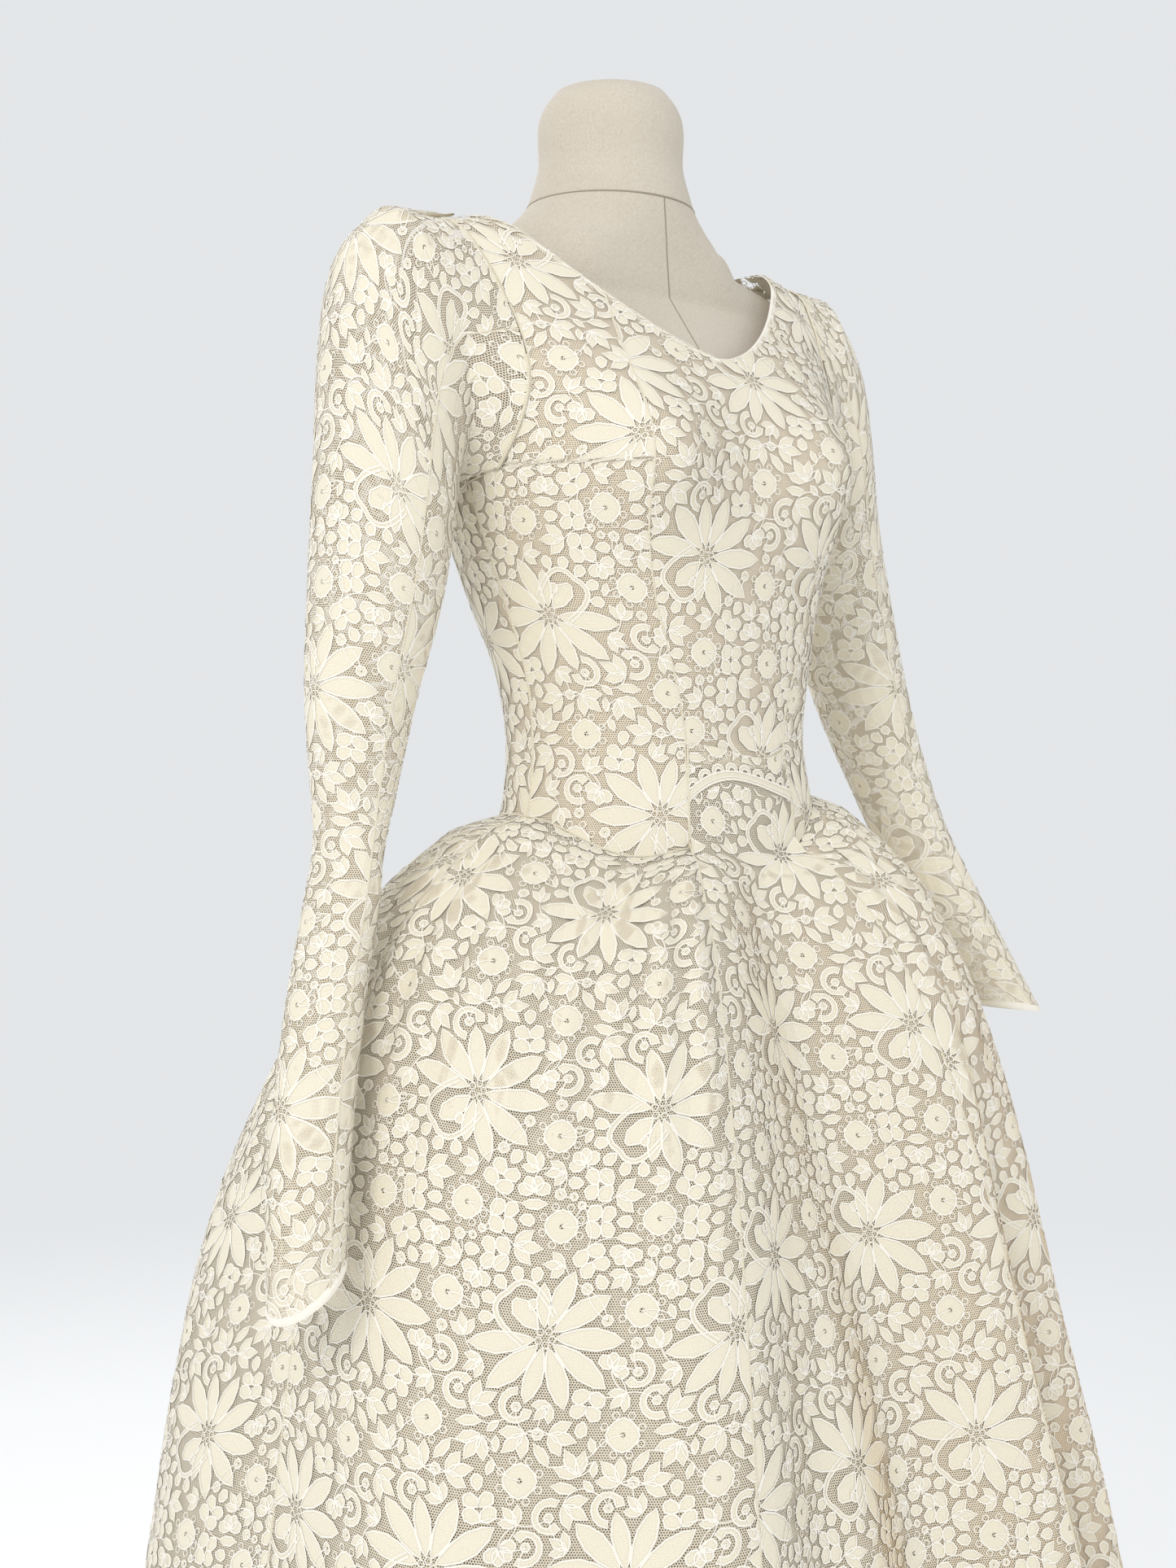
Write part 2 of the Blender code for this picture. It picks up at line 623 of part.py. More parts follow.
def make_form(linen, metal, collection):
    """Limbless dress form just inside the lining, its neck, and its post and base."""
    sides = 28
    turn = (np.arange(sides) + 0.5) * 2 * math.pi / sides
    inset = LACE_WALL + LAYER_GAP + LINING_WALL + FORM_CLEARANCE
    rings = []
    for z in (FORM_BOTTOM, 0.87, 0.94, 0.985, 1.02, 1.06, 1.11, 1.16, 1.205, 1.24, 1.275, 1.31, 1.345, 1.375,
              1.395, 1.410, 1.422, 1.430, 1.437):
        heights = np.full(sides, z)
        points = form_surface(turn, heights)
        outward = points - np.array([0, points[:, 1].mean(), z - (0.05 if z > 1.38 else 0)])
        normals = surface_normals(form_surface, turn, heights, outward, 1e-3, 1e-4)
        shoulder = ease((z - 1.26) / 0.12) * (FORM_SHOULDER_CLEARANCE - FORM_CLEARANCE)
        points = points - normals * (inset + shoulder)
        if z < 1.0:
            points[:, 2] = z
        points[:, 0] = np.clip(points[:, 0], -FORM_ARM_PLATE, FORM_ARM_PLATE)
        rings.append([tuple(p) for p in points])
    neck = [(1.4580, 0.065, 0.060), (1.4850, 0.056, 0.054), (1.5370, 0.0485, 0.048),
            (1.5450, 0.042, 0.042), (1.5500, 0.018, 0.018)]
    ridge = TORSO[-1][4]
    base = neck[0]
    rings.append([(base[1] * math.sin(a), ridge - base[2] * math.cos(a), base[0] - SEAM_GAP) for a in turn])
    loft_rings("form_torso", rings, linen, collection)
    rings = [[(w * math.sin(a), ridge - d * math.cos(a), z) for a in turn] for z, w, d in neck]
    loft_rings("form_neck", rings, linen, collection)
    for name, radius, low, high in (
        ("stand_base", BASE_RADIUS, 0.0, BASE_HEIGHT),
        ("stand_post", POST_RADIUS, BASE_HEIGHT + SEAM_GAP, FORM_BOTTOM - SEAM_GAP),
    ):
        bpy.ops.mesh.primitive_cylinder_add(vertices=24, radius=radius, depth=high - low,
                                            location=(0, 0, 0.5 * (low + high)))
        item = bpy.context.active_object
        item.name = name
        item.data.name = name
        item.data.materials.append(metal)
        for owner in list(item.users_collection):
            owner.objects.unlink(item)
        collection.objects.link(item)


def make_closure(lace, satin, collection):
    """Plain placket down the middle of the back, with a row of cloth-covered buttons on it."""
    left, left_normals = bodice_grid((False, 1, "middle"), BODICE_ROWS, BACK_COLUMNS)
    right, right_normals = bodice_grid((False, -1, "middle"), BODICE_ROWS, BACK_COLUMNS)
    points = np.concatenate([right[:, 1::-1], left[:, :2]], 1)
    normals = np.concatenate([right_normals[:, 1::-1], left_normals[:, :2]], 1)
    lift = LAYER_GAP
    cloth_wall("placket", *grid_sheet(points, normals), lift + LACE_WALL, lift, lace, collection)
    line_z = left[:, 0, 2]
    line_y = left[:, 0, 1]
    for index in range(BUTTON_COUNT):
        height = line_z[0] + (line_z[-1] - line_z[0]) * (index + 0.5) / BUTTON_COUNT
        reach = np.linspace(height - BUTTON_RADIUS, height + BUTTON_RADIUS, 25)
        under = np.interp(reach, line_z, line_y)
        tilt = math.atan((under[-1] - under[0]) / (2 * BUTTON_RADIUS))
        normal = np.array([0.0, math.cos(tilt), -math.sin(tilt)])
        seat = np.array([0.0, np.interp(height, line_z, line_y), height])
        rise_over = max((y - seat[1]) * normal[1] + (z - height) * normal[2] for y, z in zip(under, reach))
        centre = seat + normal * (rise_over + lift + LACE_WALL + 2 * SEAM_GAP)
        rings = []
        for rise, radius in ((0.0, 1.0), (0.0022, 0.9), (0.0036, 0.4)):
            ring = []
            for k in range(BUTTON_SIDES):
                angle = 2 * math.pi * k / BUTTON_SIDES
                side = np.array([math.sin(angle), 0, 0])
                up = np.cross(normal, [1.0, 0, 0]) * -math.cos(angle)
                ring.append(tuple(centre + normal * rise + (side + up) * radius * BUTTON_RADIUS))
            rings.append(ring)
        button = loft_rings(f"button_{index + 1:02d}", rings, satin, collection)
        fix_normals(button)


def fix_normals(item):
    """Turn a closed solid's faces outward."""
    mesh = bmesh.new()
    mesh.from_mesh(item.data)
    bmesh.ops.recalc_face_normals(mesh, faces=mesh.faces)
    mesh.to_mesh(item.data)
    mesh.free()


def main():
    """Build the dress and the form that it stands on."""
    for item in list(bpy.data.objects):
        bpy.data.objects.remove(item, do_unlink=True)
    collection = bpy.data.collections.new("wedding_dress")
    bpy.context.scene.collection.children.link(collection)
    lace = make_material("ivory_lace", (0.83, 0.76, 0.62), 0.75)
    satin = make_material("white_satin", (0.86, 0.83, 0.76), 0.35)
    cream = make_material("cream_lining", (0.80, 0.70, 0.52), 0.6)
    linen = make_material("form_linen", (0.70, 0.64, 0.55), 0.9)
    metal = make_material("stand_metal", (0.55, 0.54, 0.52), 0.35, 1.0)
    for gore in GORES:
        make_gore(gore, lace, collection)
    front_gores = [GORES[4], ("skirt_front", 360 - GORE_EDGE, 360 + GORE_EDGE)]
    front_gores.append((GORES[1][0], 360 + GORES[1][1], 360 + GORES[1][2]))
    make_skirt_lining("skirt_lining_front", front_gores, cream, collection)
    make_skirt_lining("skirt_lining_back", GORES[2:4], cream, collection)
    make_bodice(lace, satin, collection)
    make_sleeves(lace, collection)
    make_form(linen, metal, collection)
    make_closure(lace, satin, collection)
    for item in collection.objects:
        if item.name.startswith(("form_", "stand_")):
            fix_normals(item)


main()
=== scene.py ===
"""Looks of the lace wedding dress and its dress form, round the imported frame. Metres, +Z up."""
import math

import bpy
import numpy as np
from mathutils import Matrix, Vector


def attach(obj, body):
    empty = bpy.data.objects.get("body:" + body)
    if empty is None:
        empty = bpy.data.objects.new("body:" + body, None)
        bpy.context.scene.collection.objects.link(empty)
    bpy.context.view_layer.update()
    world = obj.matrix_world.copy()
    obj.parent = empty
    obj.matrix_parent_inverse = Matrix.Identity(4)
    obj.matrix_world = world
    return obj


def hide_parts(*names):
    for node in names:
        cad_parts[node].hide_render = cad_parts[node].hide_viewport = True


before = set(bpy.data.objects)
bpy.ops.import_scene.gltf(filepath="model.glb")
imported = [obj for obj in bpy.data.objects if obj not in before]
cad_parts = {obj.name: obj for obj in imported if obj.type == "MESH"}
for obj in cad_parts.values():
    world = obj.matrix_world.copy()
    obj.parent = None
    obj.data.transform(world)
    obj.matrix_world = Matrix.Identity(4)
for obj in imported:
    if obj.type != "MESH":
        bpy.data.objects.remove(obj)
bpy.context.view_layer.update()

# Driving sizes
SEAM_GAP = 0.0003
LACE_WALL = 0.001
LINING_WALL = 0.001
LAYER_GAP = 0.0008
HEM_HEIGHT = 0.025
SKIRT_DROP = 0.96
REPEAT_WIDTH = 0.12
REPEAT_LENGTH = 0.28
GATHER_DEPTH = 0.0070
LINING_INSIDE = 0.0045
GATHER_DEGREES = 7.4
FORM_BOTTOM = 0.80
FORM_CLEARANCE = 0.0043
FORM_SHOULDER_CLEARANCE = 0.012
FORM_ARM_PLATE = 0.158
BUTTON_COUNT = 12

# Torso sections: height, half width, depth to the front, depth to the back, y of the widest line
TORSO = [
    (0.78, 0.140, 0.096, 0.108, 0.000),
    (0.90, 0.135, 0.095, 0.103, 0.000),
    (0.98, 0.128, 0.095, 0.096, 0.000),
    (1.02, 0.119, 0.092, 0.089, 0.000),
    (1.06, 0.115, 0.088, 0.087, 0.002),
    (1.11, 0.120, 0.093, 0.096, 0.004),
    (1.16, 0.133, 0.104, 0.109, 0.012),
    (1.21, 0.147, 0.116, 0.116, 0.020),
    (1.26, 0.160, 0.122, 0.117, 0.028),
    (1.31, 0.174, 0.115, 0.110, 0.036),
    (1.355, 0.188, 0.095, 0.093, 0.044),
    (1.390, 0.194, 0.076, 0.074, 0.050),
    (1.413, 0.185, 0.060, 0.058, 0.052),
    (1.428, 0.150, 0.048, 0.046, 0.053),
    (1.440, 0.095, 0.044, 0.044, 0.053),
]
SECTION_POWER = 2.3
BUST_HEIGHT = 1.255
BUST_SPREAD = 0.088
BUST_RISE = 0.032
BUST_SIZE = 0.048
UNDERARM = 1.245
STRAP_INNER = 0.138
FRONT_NECK = 1.330
BACK_NECK = 1.372

# Seam places on the bodice: height, front princess x, back princess x, armhole x
BODICE_SEAMS = [
    (0.97, 0.053, 0.050, 0.150),
    (1.06, 0.047, 0.048, 0.150),
    (1.16, 0.074, 0.060, 0.150),
    (1.25, 0.095, 0.072, 0.1525),
    (1.31, 0.090, 0.078, 0.147),
    (1.38, 0.080, 0.080, 0.156),
    (1.43, 0.076, 0.080, 0.168),
]

# Basque seam between bodice and skirt: degrees from the front, height
BASQUE = [
    (-180, 1.000), (-130, 1.006), (-80, 1.003), (-50, 0.980), (-30, 0.985),
    (30, 0.985), (50, 1.010), (80, 1.025), (130, 1.012), (180, 1.000),
]
APRON_HEIGHT = 1.0415
GORE_EDGE = 29.5

# Skirt radius: drop below the basque seam, then at the front, 45, 90, 135 degrees and the back
SKIRT = [
    (0.015, 0.105, 0.140, 0.160, 0.150, 0.140),
    (0.050, 0.115, 0.180, 0.205, 0.190, 0.172),
    (0.090, 0.128, 0.208, 0.236, 0.217, 0.198),
    (0.170, 0.155, 0.243, 0.276, 0.275, 0.250),
    (0.250, 0.180, 0.268, 0.303, 0.318, 0.292),
    (0.350, 0.207, 0.292, 0.330, 0.350, 0.328),
    (0.480, 0.240, 0.325, 0.358, 0.368, 0.358),
    (0.600, 0.265, 0.350, 0.380, 0.382, 0.380),
    (1.000, 0.330, 0.425, 0.455, 0.450, 0.468),
]

# Large skirt folds: degrees of the ridge, depth of the valley that follows it
FOLDS = [
    (-29.5, 0.020), (-6, 0.030), (29.5, 0.075), (47, 0.045), (66, 0.040), (94, 0.045), (120, 0.045),
    (147, 0.045), (173, 0.045), (199, 0.045), (224, 0.040), (245, 0.035), (296, 0.018), (330.5, 0.020),
]
FOLD_START = 0.06
FOLD_FULL = 0.55

# Skirt gores: name, first edge in degrees, last edge in degrees
GORES = [
    ("skirt_front", -GORE_EDGE, GORE_EDGE),
    ("skirt_side_front_left", GORE_EDGE, 94),
    ("skirt_back_left", 94, 180),
    ("skirt_back_right", 180, 268),
    ("skirt_side_front_right", 268, 360 - GORE_EDGE),
]

# Sleeve sections: inner x and z, outer x and z, y of the middle, half depth front to back
NEAR_SLEEVE = [
    (0.163, 1.237, 0.214, 1.424, 0.044, 0.060),
    (0.168, 1.224, 0.243, 1.392, 0.041, 0.059),
    (0.171, 1.206, 0.256, 1.335, 0.038, 0.056),
    (0.176, 1.180, 0.263, 1.258, 0.035, 0.052),
    (0.184, 1.145, 0.270, 1.175, 0.033, 0.047),
    (0.203, 1.080, 0.275, 1.090, 0.033, 0.038),
    (0.221, 1.020, 0.274, 1.020, 0.028, 0.030),
    (0.235, 0.985, 0.277, 0.988, 0.021, 0.028),
    (0.246, 0.950, 0.292, 0.950, 0.010, 0.028),
    (0.263, 0.900, 0.311, 0.898, -0.002, 0.028),
    (0.282, 0.845, 0.331, 0.838, -0.019, 0.028),
    (0.297, 0.790, 0.347, 0.775, -0.034, 0.028),
    (0.308, 0.742, 0.355, 0.704, -0.047, 0.026),
]
FAR_SLEEVE = [
    (0.163, 1.237, 0.200, 1.421, 0.043, 0.059),
    (0.167, 1.224, 0.222, 1.385, 0.039, 0.057),
    (0.170, 1.206, 0.234, 1.330, 0.035, 0.053),
    (0.175, 1.185, 0.243, 1.255, 0.032, 0.049),
    (0.186, 1.150, 0.257, 1.180, 0.027, 0.045),
    (0.203, 1.080, 0.268, 1.100, 0.013, 0.038),
    (0.221, 1.020, 0.276, 1.036, -0.004, 0.033),
    (0.235, 0.975, 0.286, 0.990, -0.018, 0.031),
    (0.249, 0.935, 0.299, 0.950, -0.034, 0.030),
    (0.268, 0.890, 0.314, 0.905, -0.052, 0.028),
    (0.284, 0.857, 0.334, 0.850, -0.072, 0.026),
]
ARMHOLE_GAP = 0.0020


def smooth_table(rows, key):
    """Interpolate each column of a table smoothly at the given keys (cubic, flat at the ends)."""
    table = np.array(rows, float)
    xs = table[:, 0]
    ys = table[:, 1:]
    slopes = np.gradient(ys, xs, axis=0)
    x = np.clip(np.asarray(key, float), xs[0], xs[-1])
    i = np.clip(np.searchsorted(xs, x, side="right") - 1, 0, len(xs) - 2)
    width = (xs[i + 1] - xs[i])[..., None]
    t = (x - xs[i])[..., None] / width
    low = ys[i] * (1 + 2 * t) * (1 - t) ** 2 + slopes[i] * width * t * (1 - t) ** 2
    high = ys[i + 1] * t * t * (3 - 2 * t) - slopes[i + 1] * width * t * t * (1 - t)
    return low + high


def ease(value):
    """Smooth step from 0 to 1."""
    t = np.clip(value, 0.0, 1.0)
    return t * t * (3 - 2 * t)


def torso_depth(x, z, front):
    """y of the torso surface at x and height z, on the front or the back."""
    width, depth_front, depth_back, ridge = np.moveaxis(smooth_table(TORSO, z), -1, 0)
    share = np.clip(np.abs(x) / width, 0.0, 1.0)
    bow = (1 - share ** SECTION_POWER) ** (1 / SECTION_POWER)
    bust = np.exp(-((np.abs(x) - BUST_SPREAD) ** 2 + (z - BUST_HEIGHT) ** 2) / BUST_SIZE ** 2)
    if front:
        return ridge - depth_front * bow - BUST_RISE * bust * bow
    return ridge + depth_back * bow


def torso_ring(angle, z):
    """Radius of the torso about the z axis at an angle from the front, below the bust."""
    width, depth_front, depth_back, _ = np.moveaxis(smooth_table(TORSO, z), -1, 0)
    depth = np.where(np.cos(angle) > 0, depth_front, depth_back)
    power = SECTION_POWER
    across = (np.abs(np.sin(angle)) / width) ** power
    along = (np.abs(np.cos(angle)) / depth) ** power
    return (across + along) ** (-1 / power)


def basque_height(degrees):
    """Height of the seam between bodice and skirt."""
    wrapped = (np.asarray(degrees, float) + 180) % 360 - 180
    return smooth_table(BASQUE, wrapped)[..., 0]


def fold_wave(degrees):
    """Height of the large folds, 0 on a ridge and minus the full depth in a valley."""
    wrapped = (np.asarray(degrees, float) + GORE_EDGE) % 360 - GORE_EDGE
    edges = np.array([row[0] for row in FOLDS], float)
    depths = np.array([row[1] for row in FOLDS])
    i = np.clip(np.searchsorted(edges, wrapped, side="right") - 1, 0, len(edges) - 2)
    t = (wrapped - edges[i]) / (edges[i + 1] - edges[i])
    return -depths[i] * 0.5 * (1 - np.cos(2 * math.pi * t))


def skirt_radius(degrees, drop):
    """Radius of the skirt without its gathers, at a drop below the basque seam."""
    degrees, drop = np.broadcast_arrays(np.asarray(degrees, float), np.asarray(drop, float))
    angle = np.radians(degrees)
    station = np.abs((np.asarray(degrees, float) + 180) % 360 - 180) / 45
    seam = torso_ring(angle, basque_height(degrees))
    radii = smooth_table(SKIRT, np.maximum(drop, SKIRT[0][0]))
    i = np.clip(np.floor(station).astype(int), 0, 3)
    t = ease(station - i)
    near = np.take_along_axis(radii, i[..., None], -1)[..., 0]
    far = np.take_along_axis(radii, (i + 1)[..., None], -1)[..., 0]
    base = near * (1 - t) + far * t
    grown = seam + (base - seam) * np.clip(np.sin(np.clip(drop / SKIRT[0][0], 0, 1) * math.pi / 2), 0, 1)
    strength = ease((drop - FOLD_START) / (FOLD_FULL - FOLD_START))
    strength = strength * (1 + 0.25 * np.clip(drop - FOLD_FULL, 0, 1))
    return grown + fold_wave(degrees) * strength


def gather_height(degrees, drop, first, last):
    """Small gathers of one gore, whole in number between its two edges."""
    count = max(1, round((last - first) / GATHER_DEGREES))
    phase = (np.asarray(degrees, float) - first) / (last - first) * count
    fade = ease(1 - (drop - 0.04) / 0.26) * (0.2 + 0.8 * ease(drop / 0.02))
    return GATHER_DEPTH * fade * 0.5 * (1 - np.cos(2 * math.pi * phase))


def skirt_point(degrees, drop, gore, inside=0.0, gathered=True):
    """Point of the skirt surface. The front gore has no gathers and rises to the waist."""
    name, first, last = gore
    degrees = np.asarray(degrees, float)
    angle = np.radians(degrees)
    top = basque_height(degrees)
    z = top - drop * (top - HEM_HEIGHT) / SKIRT_DROP
    radius = skirt_radius(degrees, np.maximum(drop, 0.0)) - inside
    radius = np.where(drop < 0, torso_ring(angle, z) - inside, radius)
    if gathered and name != "skirt_front":
        radius = radius + gather_height(degrees, drop, first, last)
    return np.stack([radius * np.sin(angle), -radius * np.cos(angle), z], -1)


def surface_normals(function, a, b, outward, step_a, step_b):
    """Unit normals of a surface given by two parameters, by small steps."""
    along = function(a + step_a, b) - function(a - step_a, b)
    down = function(a, b + step_b) - function(a, b - step_b)
    normal = np.cross(along, down)
    normal /= np.maximum(np.linalg.norm(normal, axis=-1, keepdims=True), 1e-12)
    flip = np.sign(np.sum(normal * outward, -1, keepdims=True))
    return normal * np.where(flip == 0, 1, flip)


def princess_x(z, front):
    """Distance of the princess seam from the middle, on the front or the back."""
    seams = smooth_table(BODICE_SEAMS, z)
    if not front:
        return seams[..., 1]
    angle = math.radians(GORE_EDGE)
    apron_edge = torso_ring(angle, z) * math.sin(angle) + 2 * SEAM_GAP
    return np.where(z < 1.06, apron_edge, seams[..., 0])


def side_x(z):
    """Outer edge of the bodice: the side seam below the underarm, the armhole above it."""
    width = smooth_table(TORSO, z)[..., 0]
    armhole = smooth_table(BODICE_SEAMS, z)[..., 2]
    return np.where(z < UNDERARM, width, np.minimum(width, armhole)) * 0.999999


def shoulder_height(x):
    """Height where the torso's width is x: the line of the shoulder seam."""
    heights = np.linspace(1.39, 1.44, 200)
    widths = smooth_table(TORSO, heights)[..., 0]
    return np.interp(-np.abs(x), -widths, heights)


def neckline(x, front):
    """Height of the neckline at a distance from the middle, then of the shoulder seam."""
    low = FRONT_NECK if front else BACK_NECK
    share = np.clip(np.abs(x) / STRAP_INNER, 0, 1)
    power = 1.6 if front else 2.2
    scoop = low + (shoulder_height(STRAP_INNER) - low) * share ** power
    return np.where(np.abs(x) < STRAP_INNER, scoop, shoulder_height(x))


def sleeve_point(turn, ring, rows, sign):
    """Point of a sleeve: ring 0 is the armhole, the others are the table's rows; turn 0 is outside."""
    turn = np.asarray(turn, float)
    top = shoulder_height(side_x(1.43))
    z = 0.5 * (top + UNDERARM) + 0.5 * (top - UNDERARM) * np.cos(turn)
    x = side_x(z)
    front = np.sin(turn) > 0
    y = np.where(front, torso_depth(x, z, True), torso_depth(x, z, False))
    rise = np.maximum(np.cos(turn), 0.0)
    armhole = np.stack([x + ARMHOLE_GAP * (1 + rise), y, z + ARMHOLE_GAP * rise], -1)
    keys = [(index + 1,) + row for index, row in enumerate(rows)]
    inner_x, inner_z, outer_x, outer_z, middle, half = np.moveaxis(smooth_table(keys, ring), -1, 0)
    cos = np.cos(turn)
    oval = np.stack([
        0.5 * (inner_x + outer_x) + 0.5 * (outer_x - inner_x) * cos,
        middle - half * np.sin(turn),
        0.5 * (inner_z + outer_z) + 0.5 * (outer_z - inner_z) * cos,
    ], -1)
    blend = np.clip(ring, 0, 1)[..., None]
    return (armhole * (1 - blend) + oval * blend) * np.array([sign, 1, 1])


def form_surface(turn, z):
    """Point of the torso's surface at a turn about its section."""
    width = np.moveaxis(smooth_table(TORSO, z), -1, 0)[0]
    power = 2 / SECTION_POWER
    x = width * np.sign(np.sin(turn)) * np.abs(np.sin(turn)) ** power
    front = np.cos(turn) > 0
    y = np.where(front, torso_depth(x, z, True), torso_depth(x, z, False))
    return np.stack([x, y, z + 0 * x], -1)


# Colour ramps from dark to light; the satin and taffeta ramps also run with x, which for the taffeta paints
# warm shade
FILL_COLOURS = ((0.66, 0.59, 0.44), (0.84, 0.78, 0.63), (0.93, 0.90, 0.79))
CORD_COLOURS = ((0.80, 0.74, 0.61), (0.94, 0.90, 0.81), (0.98, 0.96, 0.90))
SEAM_COLOUR = (0.66, 0.59, 0.45)
NET_COLOUR = (0.78, 0.69, 0.54)
# Taffeta ramp: taffeta tones, with the painted warm shade of the far folds as its last colour
TAFFETA_AND_SHADE_COLOURS = ((0.60, 0.54, 0.43), (0.70, 0.60, 0.43), (0.88, 0.64, 0.33))
# Painted warm shade: ochre tint multiplied onto the far flanks of the big folds
PAINTED_FOLD_SHADE = (0.88, 0.62, 0.24)
SATIN_COLOURS = ((0.68, 0.57, 0.42), (0.78, 0.68, 0.53), (0.89, 0.85, 0.74))
LINEN_COLOURS = ((0.38, 0.33, 0.26), (0.60, 0.54, 0.45), (0.74, 0.69, 0.61))
METAL_COLOURS = ((0.30, 0.29, 0.28), (0.42, 0.41, 0.40), (0.50, 0.49, 0.47))
NET_PITCH = 0.0017
NET_THREAD = 0.17

# Lace threads and the outlines of its motifs
CORD_WIDTH = 0.0012
THIN_CORD = 0.0008
CORD_LIFT = 0.0007
FILL_LIFT = 0.0004
PETAL_STATIONS = ((0, 0), (0.12, 0.42), (0.35, 0.86), (0.6, 1.0), (0.85, 0.62), (1, 0))
LOBE_STATIONS = ((0, 0.1), (0.3, 0.8), (0.75, 0.95), (1, 0.25))
LEAF_STATIONS = ((0, 0), (0.3, 0.8), (0.65, 0.9), (1, 0))
DAISY_PETALS = (
    (-38, 0.040, 0.0135), (-2, 0.042, 0.0135), (34, 0.042, 0.0135), (68, 0.038, 0.0125),
    (101, 0.034, 0.011), (133, 0.040, 0.0135), (168, 0.041, 0.0130), (-72, 0.037, 0.012), (-98, 0.026, 0.009),
)
DAISY_ARC = -135

# Places of the small motifs of one half repeat: kind, x and y in mm, degrees, hand
LAYOUT = [
    ("round_flower", 57.5, 52, 0, -1), ("scroll", -14, 111.5, 270, -1), ("spray", -41.5, 113.5, 330, 1),
    ("round_flower", 51.5, 126, 0, 1), ("cluster3", 30, 101.5, 100, -1), ("fan", -44, 35, 120, -1),
    ("round_flower", 4, 3, 0, -1), ("cluster3", -27.5, 24, 180, 1), ("cluster3", -39.5, 1.5, 0, -1),
    ("scroll", 58, 88.5, 240, 1), ("spray", -24, 17.5, 0, -1), ("spray", -8, 126, 135, -1),
    ("fan", 45.5, 15, 100, 1), ("cluster3", 20.5, 16, 60, 1), ("scroll", -49.5, 105.5, 60, 1),
    ("spray", -34, 129.5, 120, -1), ("fan", 41.5, 88, 300, 1), ("spray", 6.5, 126, 15, -1),
    ("spray_small", 8.5, 26.5, 180, -1), ("spray_small", 6.5, 109, 135, 1),
    ("spray_small", 47, 29.5, 135, 1), ("spray_small", -49, 74.5, 255, 1),
    ("spray_small", 52, 101, 135, -1), ("spray_small", -56.5, 31, 195, 1),
    ("spray_small", -36.5, 87, 150, 1), ("leaf", 38, 8, 0, 1), ("leaf", -52, 134.5, 120, 1),
    ("leaf", -33.5, 122, 180, -1), ("rosette", 23, 39.5, 0, 1), ("rosette", 56, 71.5, 0, -1),
    ("rosette", 0, 126.5, 0, 1), ("rosette", 37, 58, 0, -1), ("rosette", -58.5, 16.5, 0, 1),
    ("bud", -23.5, 120.5, 140, -1), ("bud", -24, 138.5, 260, 1), ("bud", -42, 57.5, 240, 1),
    ("bud", 34.5, 137, 260, -1), ("dot", -50, 15.5, 0, -1), ("dot", -44.5, 10.5, 0, 1),
]


